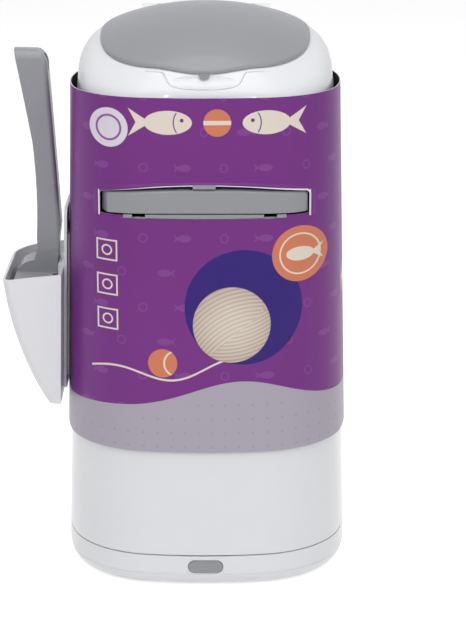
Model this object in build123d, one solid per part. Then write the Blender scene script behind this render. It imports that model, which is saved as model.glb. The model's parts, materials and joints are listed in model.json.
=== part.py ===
from build123d import *
from math import atan2, degrees, hypot, radians, sqrt, tan
import os

# Litter disposal pail, in millimetres. The origin is on the floor under the middle of the pail,
# X runs to the right, Y to the back and Z up, so the front with the handle faces -Y.

# Plan of the body at floor level: eight tangent arcs
pail_half_width = 126.0
pail_half_depth = 111.0
front_radius = 355.0
side_radius = 201.0
corner_radius = 84.0
body_draft = 1.75          # degrees, the walls lean inwards as they rise
wall = 2.4                 # moulded wall of shell, base and dome

# Heights
pail_height = 491.1        # top of the dome's crown, without the lid
dome_height = 83.1
shell_top = pail_height - dome_height   # the dome is snapped on here, hidden by the sleeve
base_top = 30.0
seam_gap = 1.2             # between the base and the tilting shell

# Base
foot_height = 1.2          # the rubber foot ring holds the base this far off the floor
foot_round = 14.0
base_floor = 2.6
rim_height = 6.0
lip_height = 8.0
lip_thickness = 2.0
lip_clearance = 1.0
base_rib = 2.0
base_rib_height = 6.0
base_rib_spacing = (60.0, 52.0)   # between the ribs that run along Y and along X
groove_height = 13.0
groove_depth = 0.5
foot_ring_inset = 19.0     # from the outline at floor level to the ring's outer edge
foot_ring_width = 8.0
foot_ring_thickness = 2.2
foot_ring_bed = 2.0        # tray thickened this far either side of the ring

# Rear hinge between base and shell
tilt_hinge_y = pail_half_depth + 5.0
tilt_hinge_z = base_top + 3.0
tilt_knuckle_radius = 5.5
tilt_pin_radius = 2.0
tilt_knuckle_inner = 20.0  # |X| where the shell's knuckles start
tilt_knuckle_middle = 37.0
tilt_knuckle_outer = 54.0

# Release button and latch
button_width = 30.0
button_height = 11.0
button_z = base_top - 9.5
button_proud = 0.8
button_clearance = 0.5
button_travel = 3.0
latch_arm_y = -pail_half_depth + 11.0
latch_arm_thickness = 2.4
latch_arm_width = 12.0
catch_z = base_top + 12.0
catch_depth = 4.0
catch_width = 20.0
latch_room = 22.0          # |X| kept free in the base's rim for the latch
latch_room_depth = 23.0    # from the outline at floor level
latch_nose_bottom = 0.5    # heights over the catch
latch_nose_step = 1.6
latch_nose_top = 4.6
button_back = -pail_half_depth + 14.0   # rear face of the stem, where the spring pushes
stem_half_width = 8.0
stem_half_height = 3.0
stem_front = -pail_half_depth + 4.5
flange_rim = 1.5           # of the button's flange behind the wall
nose_clearance = 0.3       # between the latch nose and the shell's catch at rest
spring_radius = 3.2
spring_wire = 0.9
spring_turns = 4
spring_slack = 2.2
post_half_width = 9.0
post_thickness = 2.5
post_rise = 7.0            # over the middle of the button
post_web_length = 14.0
post_web_thickness = 2.0

# Display sleeve, a printed board tube with its own draft
sleeve_stand_off = 2.2     # outside the shell, at floor level
sleeve_half_width = pail_half_width + sleeve_stand_off
sleeve_draft = 1.43
sleeve_bottom = 126.5
sleeve_top = shell_top + 25.5
sleeve_thickness = 0.8
band_height = 8.0          # bands on the shell that centre the sleeve
stiffener_start = 16.0     # above the shell's lower edge
stiffener_reach = 3.5      # inside the wall
stiffener_half = 1.0
stiffener_x = (-66.0, -22.0, 22.0, 66.0)
stiffener_y = (-44.0, 0.0, 44.0)
sleeve_fit = 0.3

# Dome and lid: the crown is a barrel whose axis lies along X
crown_y = 40.5
crown_depth_radius = 196.8
crown_width_radius = 236.8
dome_draft = 5.5
dome_round = 24.0
spigot_height = 9.0
spigot_thickness = 1.8
spigot_fit = 0.3
lid_half_width = pail_half_width - 34.8
lid_half_depth = pail_half_depth - 33.9
lid_y = -4.0
lid_front_radius = 95.0
lid_side_radius = 120.0
lid_corner_radius = 42.0
lid_gap = 0.6
lid_thickness = 2.6
lid_edge_round = 2.2
opening_inset = 5.0        # opening in the dome, measured in from the lid's outline
liner_inset = 2.6          # liner, measured in from the opening
liner_depth = 3.4
seal_thickness = 1.3
recess_half_length = 52.0
recess_radius = 12.0
recess_y = lid_y - lid_half_depth - 10.9
recess_z = pail_height - 40.1
lid_catch_width = 8.4
lid_catch_depth = 1.3
lid_catch_drop = 3.9         # below the lid's edge

# Lid hinge
lid_hinge_y = lid_y + lid_half_depth + 10.9
lid_hinge_z = pail_height - 8.6
lid_knuckle_radius = 4.5
lid_pin_radius = 1.5
trough_clearance = 0.7
lid_knuckle_inner = 24.0
lid_knuckle_middle = 44.0
lid_knuckle_outer = 58.0
lid_arm_thickness = 2.4
lid_arm_overlap = 6.0      # of the arm on the lid
pin_fit = 0.05             # radial running fit of the hinge pins
side_fit = 0.4             # between knuckles, along the pin

# Clamp deck, on which the handle, its window and the jaws are set out
deck_z = shell_top - 82.0
deck_thickness = 3.0
deck_top = deck_z + deck_thickness
ledge_width = 6.0
ledge_height = 6.0
throat_y = -8.4
throat_half_width = 52.0
throat_half_depth = 29.0

# Handle in its window
handle_bottom = deck_top + 7.5
handle_height = 16.8       # at its ends
handle_rise = 3.3          # the top is arched by this much
handle_top = handle_bottom + handle_height
handle_half_width = pail_half_width - 39.0
handle_proud = 5.2
handle_thickness = 12.0
handle_end_chamfer = (5.0, 5.3)   # in depth and along the face
handle_edge_round = 1.8           # along the top of the face
handle_corner = 2.0
handle_travel = 60.0
handle_side_gap = 1.5
window_bottom = handle_bottom - 4.7
window_top = handle_top + 0.7      # at its ends, above the bar's
window_rise = handle_rise + 2.7
window_corner = 2.6
window_half_width = handle_half_width + handle_side_gap
window_rim = 1.4           # moulded rim round the window, seen edge on
window_rim_proud = 0.9     # of the sleeve
window_clip_width = 19.0
window_clip_height = 3.6
window_clip_drop = 2.5     # below the window's top
window_clip_proud = 0.3    # of the rim
sleeve_window_margin = window_rim + 0.3
sill_top = handle_bottom - 1.1
sill_half_width = 54.0
sill_lug_inner = 64.0
sill_lug_outer = 74.0

# Clamp that pinches the bag shut
jaw_half_width = 65.6
jaw_depth = 22.0
jaw_top = deck_top + 27.0
jaw_seal_thickness = 2.85
jaw_gap = 0.3
jaw_wall = 2.5
jaw_behind_throat = 1.0
rest_y = throat_y + throat_half_depth + jaw_behind_throat   # where the jaws meet
jaw_back = rest_y - jaw_gap / 2 - jaw_seal_thickness        # of the moving jaw
rail_width = 6.0
rail_height = 24.0
rail_fit = 0.3
rail_inner = jaw_half_width + rail_fit
rail_front = -pail_half_depth + 29.0
rail_back = 52.0
arm_width = 11.6
arm_bottom = handle_bottom + 2.5
arm_height = 12.0
arm_top = arm_bottom + arm_height
arm_front = -pail_half_depth + 16.5
tongue_depth = 2.6
tongue_height = 4.0
tongue_overrun = 3.4       # of the tongue out of its rail with the handle fully out
tongue_length = jaw_back - rail_front - handle_travel + tongue_overrun
screw_radius = 1.5
screw_head_radius = 3.0
screw_head_height = 1.8
screw_length = 9.0
screw_clearance = 0.2
boss_radius = 5.0
boss_height = 14.0
boss_x = pail_half_width - 23.0
boss_y = 30.0

# Refill cartridge on its seat
seat_z = shell_top - 24.0
seat_thickness = 3.0
seat_top = seat_z + seat_thickness
seat_collar_bottom = seat_z - 25.0
seat_rim_height = 6.0
cartridge_half_width = pail_half_width - 45.0
cartridge_half_depth = pail_half_depth - 44.0
cartridge_height = 46.0
cartridge_wall = 2.0
cartridge_throat_half_width = cartridge_half_width - 24.0
cartridge_throat_half_depth = cartridge_half_depth - 24.0
cartridge_fit = 0.4
inner_wall_drop = 4.0
cover_thickness = 3.0
cover_slot = 7.0
film_thickness = 0.6
film_pack_height = 36.0
film_bottom = seat_collar_bottom - 2.0

# Scoop holder, bracket and pad, in a frame that leans with the side of the sleeve
holder_z = sleeve_bottom + 27.5
holder_wall = 2.3
holder_front = -60.0
holder_back = 70.0
holder_back_plane = 3.5
holder_rim_inner = 118.0
holder_rim_outer = 111.0
holder_depths = ((0.0, 14.7), (14.0, 23.6), (46.0, 38.3), (80.0, 49.0), (111.0, 55.1), (121.0, 56.6))
holder_front_round = 9.0
holder_back_round = 32.0
holder_boss_depth = 9.2
holder_boss_half_width = 21.0
pad_thickness = 0.6
pad_half_width = 26.0
pad_bottom = 16.0
pad_top = 146.0
bracket_thickness = 2.6
bracket_half_width = 32.0
bracket_bottom = 4.0
bracket_top = 170.0
bracket_round = 8.0
dovetail_depth = 3.0
dovetail_neck = 30.0
dovetail_head = 36.0
dovetail_bottom = 36.0
dovetail_top = 107.7
dovetail_fit = 0.3

# Scoop, in the same leaning frame
scoop_wall = 2.0
scoop_half_width = 50.0
scoop_floor = 10.0         # outer face of the slotted floor, from the sleeve
scoop_tip = 2.6
scoop_shoulder_radius = 38.0
scoop_shoulder_v = 70.0    # height at which the shoulders begin
scoop_neck_half_width = 15.0
scoop_neck_top = 128.5
scoop_hood_bottom = 104.0  # the shovel's open side ends here
scoop_brow = (-31.0, 10.0)     # out from the sleeve, and below the neck's top
scoop_bulge = (-41.0, 14.0)
scoop_lip = -47.5
scoop_side_bow = (-32.0, 47.0)
scoop_clear = -80.0        # a plane outside the shovel
scoop_slot_width = 5.0
scoop_slot_pitch = 9.6
scoop_slot_count = 9
scoop_slot_length = 42.0
grip_half_width = 13.0
grip_inner_round = 4.5
grip_top = 305.0
grip_tip = -48.8           # the outer edge at the top
grip_inner_edge = ((-30.0, 0.0), (-23.0, -4.5), (-19.6, -15.0))   # from the grip's top down
grip_inner_bow = (-13.2, 218.0)
grip_foot = (-7.6, 150.0)
grip_root = (-10.0, -32.4)
grip_outer_edge = ((-28.6, 138.0), (-28.4, 170.0), (-32.5, 225.0), (-39.0, 258.0))
grip_top_round = 10.0
hang_hole_length = 17.0
hang_hole_width = 9.0
hang_hole_drop = 12.5      # from the grip's top to the hole's middle

# Derived
wall_slope = tan(radians(body_draft))
sleeve_slope = tan(radians(sleeve_draft))
post_front = button_back + button_travel + spring_turns * spring_wire + spring_slack
bracket_face = pad_thickness + bracket_thickness
rim_outset = (sleeve_half_width - pail_half_width + (wall_slope - sleeve_slope) * window_top
              + window_rim_proud)
clear_front = -pail_half_depth - 20.0    # a plane in front of the pail, for cuts
clip_low = window_top + window_rise - window_clip_drop
side_of_sleeve = Pos(-(sleeve_half_width - sleeve_slope * holder_z), 0, holder_z) * Rot(0, sleeve_draft, 0)


def oval(half_width, half_depth, front, side, corner, inset=0.0):
    """Face inside eight tangent arcs, moved inwards by inset."""
    front_y = half_depth - front
    side_x = half_width - side
    span = hypot(side_x, front_y)
    from_front, from_side = front - corner, side - corner
    along = (from_front**2 - from_side**2 + span**2) / (2 * span)
    across = sqrt(from_front**2 - along**2)
    corner_x = (along * side_x - across * front_y) / span
    corner_y = front_y - (along * front_y + across * side_x) / span
    side_turn = degrees(atan2(corner_y, corner_x - side_x))
    front_turn = degrees(atan2(corner_y - front_y, corner_x))
    turn = front_turn - side_turn
    edges = [
        CenterArc((side_x, 0), side - inset, -side_turn, 2 * side_turn),
        CenterArc((corner_x, corner_y), corner - inset, side_turn, turn),
        CenterArc((0, front_y), front - inset, front_turn, 180 - 2 * front_turn),
        CenterArc((-corner_x, corner_y), corner - inset, 180 - front_turn, turn),
        CenterArc((-side_x, 0), side - inset, 180 - side_turn, 2 * side_turn),
        CenterArc((-corner_x, -corner_y), corner - inset, 180 + side_turn, turn),
        CenterArc((0, -front_y), front - inset, 180 + front_turn, 180 - 2 * front_turn),
        CenterArc((corner_x, -corner_y), corner - inset, 360 - front_turn, turn),
    ]
    return Face(Wire(edges))


def pail_plan(inset):
    return oval(pail_half_width, pail_half_depth, front_radius, side_radius, corner_radius, inset)


def lid_plan(inset):
    plan = oval(lid_half_width, lid_half_depth, lid_front_radius, lid_side_radius, lid_corner_radius, inset)
    return Pos(0, lid_y) * plan


def cartridge_plan(half_width, half_depth):
    """Outline of the refill cartridge and of its throat, which share one pair of proportions."""
    plan = oval(half_width, half_depth, 1.6 * half_width, 1.9 * half_depth, 0.6 * half_depth)
    return Pos(0, throat_y) * plan


def wall_form(bottom, top, inset, draft=body_draft):
    """Drafted solid of the pail's plan between two heights, with the inset taken at floor level."""
    section = pail_plan(inset + tan(radians(draft)) * bottom)
    return extrude(Pos(0, 0, bottom) * section, top - bottom, taper=draft)


def wall_ring(bottom, top, outer_inset, inner_inset, draft=body_draft):
    return wall_form(bottom, top, outer_inset, draft) - wall_form(bottom, top, inner_inset, draft)


def column(plan, bottom, top):
    return extrude(Pos(0, 0, bottom) * plan, top - bottom)


def block(x, y, z):
    """Box between three pairs of limits."""
    return Pos(x[0], y[0], z[0]) * Box(x[1] - x[0], y[1] - y[0], z[1] - z[0], align=(Align.MIN,) * 3)


def rod(radius, x, y, z):
    """Cylinder along X between a pair of limits."""
    return Pos((x[0] + x[1]) / 2, y, z) * Rot(0, 90, 0) * Cylinder(radius, x[1] - x[0])


def mirrored(solid):
    """The solid with its twin on the other side of the pail."""
    return [solid, mirror(solid, Plane.YZ)]


def side_profile(points, x):
    """Solid between two X limits from a polygon of (Y, Z) points."""
    face = Plane.YZ * make_face(Polyline(*points, close=True))
    return Pos(x[0], 0, 0) * extrude(face, x[1] - x[0], dir=(1, 0, 0))


def crown(grow):
    """Barrel that bounds the dome; grow moves its surface outwards."""
    depth = crown_depth_radius + grow
    width = crown_width_radius + grow
    reach = pail_half_width + 14
    edge = sqrt(width**2 - reach**2) - (width - depth)
    profile = Wire([
        Line((-reach, 0), (reach, 0)),
        Line((reach, 0), (reach, edge)),
        ThreePointArc((reach, edge), (0, depth), (-reach, edge)),
        Line((-reach, edge), (-reach, 0)),
    ])
    barrel = revolve(Face(profile), Axis.X)
    return Pos(0, crown_y, pail_height - crown_depth_radius) * barrel


def dome_form(grow):
    """Outer form of the dome, or the same form offset by grow."""
    section = pail_plan(wall_slope * shell_top - grow)
    form = extrude(Pos(0, 0, shell_top) * section, 100, taper=dome_draft) & crown(grow)
    shoulder = form.edges().filter_by(lambda edge: edge.bounding_box().min.Z > shell_top + 8
                                      and edge.geom_type not in (GeomType.LINE, GeomType.CIRCLE))
    return fillet(shoulder, dome_round + grow)


# ---- base ----

def base_tray():
    inside = wall_form(foot_height + base_floor, base_top + 1, wall)
    inside = fillet(inside.edges().group_by(Axis.Z)[0], foot_round - wall)
    tray = wall_form(foot_height, base_top, 0)
    tray = fillet(tray.edges().group_by(Axis.Z)[0], foot_round)
    tray -= inside
    lip_outer = wall + lip_clearance
    lip_inner = lip_outer + lip_thickness
    tray += wall_ring(base_top - rim_height, base_top, wall / 2, lip_inner)
    tray += wall_ring(base_top - rim_height, base_top + lip_height, lip_outer, lip_inner)
    tray -= wall_ring(groove_height, groove_height + groove_depth, -1, groove_depth)
    ribs = [block((-pail_half_width, pail_half_width), (y - base_rib / 2, y + base_rib / 2),
                  (foot_height + base_floor / 2, foot_height + base_floor + base_rib_height))
            for y in (-base_rib_spacing[1], 0, base_rib_spacing[1])]
    ribs += [block((x - base_rib / 2, x + base_rib / 2), (post_front, pail_half_depth),
                   (foot_height + base_floor / 2, foot_height + base_floor + base_rib_height))
             for x in (-base_rib_spacing[0], 0, base_rib_spacing[0])]
    for rib in ribs:
        tray += rib & wall_form(foot_height, base_top, 0) & inside
    # room for the latch, then the slot that the button slides in
    tray -= block((-latch_room, latch_room),
                  (-pail_half_depth + wall + 2 * sleeve_fit, -pail_half_depth + latch_room_depth),
                  (base_top - rim_height - 3, base_top + 30))
    tray -= button_prism(button_clearance, clear_front, latch_arm_y + 5)
    tray += spring_post()
    bed_inset, inner_inset = foot_ring_inset - foot_ring_bed, foot_ring_inset + foot_ring_width
    tray += flat_ring(foot_height, foot_height + base_floor + 1, bed_inset, inner_inset + foot_ring_bed)
    return tray - flat_ring(0, foot_ring_thickness, foot_ring_inset, inner_inset)


def base_hinge_lugs():
    """Ears on the back of the base, outside those of the shell."""
    y, z, r = tilt_hinge_y, tilt_hinge_z, tilt_knuckle_radius
    x = (tilt_knuckle_middle + side_fit, tilt_knuckle_outer)
    web = side_profile([(y - 3 * r, base_top - 0.3), (y - 2, base_top - 0.3), (y, z), (y + r, z),
                        (y - 1.2 * r, z - 4 * r), (y - 3 * r, z - 4 * r)], x)
    knuckle = rod(r, x, y, z) + web - rod(tilt_pin_radius + pin_fit, (0, pail_half_width), y, z)
    return mirrored(knuckle - wall_form(foot_height, base_top, 0))


def tilt_pins():
    pin = rod(tilt_pin_radius, (tilt_knuckle_inner - 1, tilt_knuckle_outer + 1), tilt_hinge_y, tilt_hinge_z)
    return mirrored(pin)


def flat_ring(bottom, top, outer_inset, inner_inset):
    return column(pail_plan(outer_inset), bottom, top) - column(pail_plan(inner_inset), bottom, top)


def foot_ring():
    ring = flat_ring(0, foot_ring_thickness, foot_ring_inset, foot_ring_inset + foot_ring_width)
    return chamfer(ring.edges().group_by(Axis.Z)[0], 0.5)


# ---- release button with its latch ----

def button_prism(grow, front, back):
    """Pill-shaped prism along Y, the button's outline or its slot."""
    shape = SlotOverall(button_width + 2 * grow, button_height + 2 * grow)
    return extrude(Pos(0, back, button_z) * Rot(90, 0, 0) * shape, back - front)


def release_button():
    low, high = button_z - button_height, button_z + button_height
    cap = button_prism(0, clear_front, latch_arm_y) & wall_ring(low, high, -button_proud, wall + 1.5)
    flange = button_prism(flange_rim, clear_front, latch_arm_y) & wall_ring(
        low - 3, high + 3, wall + sleeve_fit, wall + 2)
    stem = block((-stem_half_width, stem_half_width), (stem_front, button_back),
                 (button_z - stem_half_height, button_z + stem_half_height))
    arm_x = (-latch_arm_width / 2, latch_arm_width / 2)
    nose_top = catch_z + latch_nose_top
    arm = block(arm_x, (latch_arm_y - latch_arm_thickness, latch_arm_y), (button_z, nose_top))
    nose_face = -(pail_half_depth - wall_slope * catch_z - wall - catch_depth) + nose_clearance
    nose_bottom, nose_step = catch_z + latch_nose_bottom, catch_z + latch_nose_step
    nose = side_profile([(latch_arm_y, nose_bottom), (nose_face, nose_bottom), (nose_face, nose_step),
                         (latch_arm_y - latch_arm_thickness, nose_top), (latch_arm_y, nose_top)], arm_x)
    return cap + flange + stem + arm + nose


def spring_post():
    """Post on the base floor that backs the button's spring."""
    post = block((-post_half_width, post_half_width), (post_front, post_front + post_thickness),
                 (foot_height + 1, button_z + post_rise))
    for x in (1 - post_half_width, post_half_width - 1 - post_web_thickness):
        web = [(post_front + 1, foot_height + 1), (post_front + post_web_length, foot_height + 1),
               (post_front + 1, button_z + post_rise - 2)]
        post += side_profile(web, (x, x + post_web_thickness))
    spigot = Pos(0, post_front, button_z) * Rot(90, 0, 0) * Cylinder(
        spring_radius - spring_wire, 3, align=(Align.CENTER, Align.CENTER, Align.MIN))
    return post + spigot


def button_spring():
    """Coil between the button's stem and the post."""
    length = post_front - button_back - spring_wire
    path = Helix(pitch=length / spring_turns, height=length, radius=spring_radius)
    section = Plane(origin=path @ 0, z_dir=path % 0) * Circle(spring_wire / 2)
    coil = sweep(section, path=path)
    return Pos(0, button_back + spring_wire / 2, button_z) * Rot(-90, 0, 0) * coil


# ---- shell, dome and sleeve ----

def pail_shell():
    bottom = base_top + seam_gap
    shell = wall_ring(bottom, shell_top, 0, wall)
    for ledge_top in (deck_z, seat_z):
        shell += wall_ring(ledge_top - ledge_height, ledge_top, wall / 2, wall + ledge_width)
        for x in (-boss_x, boss_x):
            for y in (-boss_y, boss_y):
                shell += Pos(x, y, ledge_top) * Cylinder(boss_radius, boss_height,
                                                         align=(Align.CENTER, Align.CENTER, Align.MAX))
                shell -= Pos(x, y, ledge_top + 1) * Cylinder(screw_radius + pin_fit, screw_length + 3,
                                                             align=(Align.CENTER, Align.CENTER, Align.MAX))
    sleeve_inset = pail_half_width - sleeve_half_width + sleeve_thickness + sleeve_fit
    for z in (sleeve_bottom + 1.5, window_bottom - band_height - 8, shell_top - band_height - 2):
        outer = wall_form(z, z + band_height, sleeve_inset, sleeve_draft)
        shell += outer - wall_form(z, z + band_height, wall / 2)
    shell += stiffening_ribs(bottom)
    rim_top = window_top + window_rise + window_rim
    shell += wall_ring(window_bottom, rim_top, -rim_outset, wall / 2) & window_form(window_rim)
    shell -= window_form(0)
    shell -= clip_form()
    catch_face = pail_half_depth - wall_slope * catch_z - wall
    shell += block((-catch_width / 2, catch_width / 2), (-catch_face - wall / 2, -catch_face + catch_depth),
                   (catch_z - 2.5, catch_z))
    return shell


def clip_form():
    """Block at the middle of the window's top edge, the clip and the notch that holds it."""
    half = window_clip_width / 2
    high = clip_low + window_clip_height
    return wall_ring(clip_low, high, -rim_outset - window_clip_proud, wall) & block(
        (-half, half), (clear_front, 0), (clip_low, high))


def window_clip():
    """Grey clip in a notch of the window's rim, over the handle."""
    clip = clip_form()
    return fillet(clip.edges().filter_by(Axis.Y).group_by(Axis.Z)[-1], 1.6)


def stiffening_ribs(bottom):
    """Upright ribs inside the back and the sides of the shell."""
    low, high = bottom + stiffener_start, deck_z - ledge_height + 1
    room = wall_ring(low, high, wall / 2, wall + stiffener_reach)
    ribs = [block((x - stiffener_half, x + stiffener_half), (0, pail_half_depth), (low, high)) & room
            for x in stiffener_x]
    for x in ((-pail_half_width, 0), (0, pail_half_width)):
        ribs += [block(x, (y - stiffener_half, y + stiffener_half), (low, high)) & room for y in stiffener_y]
    return ribs


def shell_hinge_lugs():
    """Ears on the back of the shell that carry its share of the tilt hinge."""
    y, z, r = tilt_hinge_y, tilt_hinge_z, tilt_knuckle_radius
    x = (tilt_knuckle_inner, tilt_knuckle_middle)
    low = base_top + seam_gap + 0.3
    web = side_profile([(y - 3 * r, low), (y - 2, low), (y, z), (y + r, z), (y - 1.2 * r, z + 4 * r),
                        (y - 3 * r, z + 4 * r)], x)
    knuckle = rod(r, x, y, z) + web - rod(tilt_pin_radius + pin_fit, (0, pail_half_width), y, z)
    return mirrored(knuckle - wall_form(base_top, z + 5 * r, 0))


def finger_recess(grow):
    """Long rounded hollow under the front edge of the lid."""
    length, radius = recess_half_length + grow, recess_radius + grow
    half = Wire([EllipticalCenterArc((0, 0), length, radius, start_angle=0, arc_size=180),
                 Line((-length, 0), (length, 0))])
    return Pos(0, recess_y, recess_z) * revolve(Face(half), Axis.X)


def top_dome():
    inside = dome_form(-wall)
    inside -= finger_recess(wall)
    trough_x = (-lid_knuckle_outer - 1, lid_knuckle_outer + 1)
    trough = lid_knuckle_radius + trough_clearance
    inside -= rod(trough + wall, (trough_x[0] - wall, trough_x[1] + wall), lid_hinge_y, lid_hinge_z)
    dome = dome_form(0) - finger_recess(0) - rod(trough, trough_x, lid_hinge_y, lid_hinge_z) - inside
    dome -= column(lid_plan(opening_inset), shell_top + 10, pail_height + 10)
    spans = [(-lid_knuckle_inner + side_fit, lid_knuckle_inner - side_fit),
             (lid_knuckle_middle + side_fit, lid_knuckle_outer),
             (-lid_knuckle_outer, -lid_knuckle_middle - side_fit)]
    for x in spans:
        foot = block(x, (lid_hinge_y - lid_knuckle_radius, lid_hinge_y + lid_knuckle_radius),
                     (lid_hinge_z - trough - 1, lid_hinge_z))
        dome += rod(lid_knuckle_radius, x, lid_hinge_y, lid_hinge_z) + foot
    dome -= rod(lid_pin_radius + pin_fit, trough_x, lid_hinge_y, lid_hinge_z)
    spigot_outer = wall + spigot_fit
    dome += wall_ring(shell_top - spigot_height, shell_top, spigot_outer, spigot_outer + spigot_thickness)
    dome += wall_ring(shell_top, shell_top + 3, wall / 2, spigot_outer + spigot_thickness)
    return dome


def display_sleeve():
    outer_inset = pail_half_width - sleeve_half_width
    sleeve = wall_ring(sleeve_bottom, sleeve_top, outer_inset, outer_inset + sleeve_thickness, sleeve_draft)
    return sleeve - window_form(sleeve_window_margin, window_bottom - 0.3)


# ---- lid ----

def lid_sheet():
    """The lid before its edge is rounded: a sheet parallel to the crown, cut to the lid's outline."""
    sheet = crown(lid_gap + lid_thickness) - crown(lid_gap)
    return sheet & column(lid_plan(0), shell_top, pail_height + 20)


def lid_shell():
    lid = lid_sheet()
    top = lid_gap + lid_thickness
    top_edges = [edge for edge in lid.edges()
                 if all(abs(crown_offset(edge @ part) - top) < 0.2 for part in (0.2, 0.5))]
    lid = fillet(top_edges, lid_edge_round)
    shoulder = dome_form(lid_gap)
    swell = dome_form(lid_gap + lid_arm_thickness) - shoulder
    back = lid_y + lid_half_depth
    for x in ((lid_knuckle_inner, lid_knuckle_middle), (-lid_knuckle_middle, -lid_knuckle_inner)):
        lid += swell & block(x, (back - lid_arm_overlap, lid_hinge_y), (lid_hinge_z, pail_height + 10))
        lid += rod(lid_knuckle_radius, x, lid_hinge_y, lid_hinge_z)
    return lid - rod(lid_pin_radius + pin_fit, (-lid_half_width, lid_half_width), lid_hinge_y, lid_hinge_z)


def crown_offset(point):
    """Distance of a point outside the dome's crown, measured square to it."""
    y, z = point.Y - crown_y, point.Z - (pail_height - crown_depth_radius)
    across = hypot(y, z) + crown_width_radius - crown_depth_radius
    return hypot(across, point.X) - crown_width_radius


def lid_liner():
    liner = (crown(lid_gap - 0.1) - crown(-liner_depth)) & column(
        lid_plan(opening_inset + liner_inset), shell_top, pail_height + 20)
    core = (crown(-wall / 2) - crown(-liner_depth - 1)) & column(
        lid_plan(opening_inset + liner_inset + 8), shell_top, pail_height + 20)
    return liner - core


def lid_seal():
    inset = opening_inset + liner_inset
    ring = column(lid_plan(inset - seal_thickness), shell_top, pail_height + 20) - column(
        lid_plan(inset), shell_top, pail_height + 20)
    return (crown(-lid_gap) - crown(-liner_depth + 0.3)) & ring


def lid_catch():
    """Small snap tab hooked round the front edge of the lid, down into the finger recess."""
    front = lid_y - lid_half_depth
    rise = sqrt(crown_depth_radius**2 - (front - crown_y)**2) - crown_depth_radius
    edge_z = pail_height + rise + lid_gap
    half, low = lid_catch_width / 2, edge_z - lid_catch_drop
    tab = side_profile([(front - lid_catch_depth - 0.5, low), (front - 0.5, low), (front + 0.3, edge_z),
                        (front + 0.3, edge_z + 1), (front - lid_catch_depth, edge_z + 1)], (-half, half))
    tab = fillet(tab.edges().filter_by(Axis.Y).group_by(Axis.Z)[0], half - 0.8)
    return tab - lid_sheet()


def lid_pin():
    return rod(lid_pin_radius, (-lid_knuckle_outer, lid_knuckle_outer), lid_hinge_y, lid_hinge_z)


# ---- handle and bag clamp ----

def arched(half_width, bottom, top, rise, corner):
    """Solid through the front wall, flat below and arched above, with its upper corners rounded."""
    face = Face(Wire([
        Line((-half_width, bottom), (half_width, bottom)), Line((half_width, bottom), (half_width, top)),
        ThreePointArc((half_width, top), (0, top + rise), (-half_width, top)),
        Line((-half_width, top), (-half_width, bottom)),
    ]))
    if corner:
        face = fillet(face.vertices().group_by(Axis.Y)[-1], corner)
    return extrude(Pos(0, -pail_half_depth / 3, 0) * Rot(90, 0, 0) * face, pail_half_depth)


def window_form(grow, low=window_bottom):
    """Opening of the window moved outwards by grow at its sides and top."""
    return arched(window_half_width + grow, low, window_top + grow, window_rise, window_corner + grow)


def handle_bar():
    crest = handle_top + handle_rise
    bar = wall_ring(handle_bottom, crest, -handle_proud, handle_thickness - handle_proud)
    bar &= arched(handle_half_width, handle_bottom, handle_top, handle_rise, 0)
    middle = handle_bottom + handle_height / 2
    brow = [edge for edge in bar.edges() if edge.length > handle_half_width and edge.center().Z > middle
            and on_front_face(edge @ 0.5, handle_proud)]
    bar = fillet(brow, handle_edge_round)
    bar &= arched(handle_half_width, handle_bottom, handle_top, handle_rise, handle_corner)
    for wedge in mirrored(handle_end_wedge()):
        bar -= wedge
    for x in ((jaw_half_width - arm_width, jaw_half_width), (-jaw_half_width, -jaw_half_width + arm_width)):
        bar -= block((x[0] - rail_fit, x[1] + rail_fit), (arm_front - rail_fit, rail_front),
                     (arm_bottom - rail_fit, arm_top + rail_fit))
    for screw in handle_screw_holes(screw_radius + pin_fit, screw_head_radius + pin_fit):
        bar -= screw
    return bar


def front_face(x, z, grow):
    """Y of the pail's front arc, moved out by grow."""
    radius = front_radius - wall_slope * z + grow
    return front_radius - pail_half_depth - sqrt(radius**2 - x**2)


def on_front_face(point, grow):
    return abs(point.Y - front_face(point.X, point.Z, grow)) < 0.3


def handle_end_wedge():
    """What the chamfer at the bar's right end takes away."""
    depth, along = handle_end_chamfer
    start, end = handle_half_width - along, handle_half_width
    start_y = front_face(start, handle_bottom, handle_proud)
    end_y = front_face(end, handle_bottom, handle_proud) + depth
    past = 1.0
    past_y = end_y + past * (end_y - start_y) / along
    far_y = start_y - 2 * depth
    corners = ((start, start_y), (end + past, past_y), (end + past, far_y), (start, far_y))
    return column(make_face(Polyline(*corners, close=True)), handle_bottom - 1, handle_top + handle_rise + 1)


def handle_screw_holes(shank, head):
    x = jaw_half_width - arm_width / 2
    y = arm_front + 3.5
    upright = (Align.CENTER, Align.CENTER, Align.MIN)
    hole = Pos(x, y, handle_bottom) * Cylinder(shank, screw_length, align=upright)
    hole += Pos(x, y, handle_bottom - 0.2) * Cylinder(head, screw_head_height, align=upright)
    return mirrored(hole)


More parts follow.
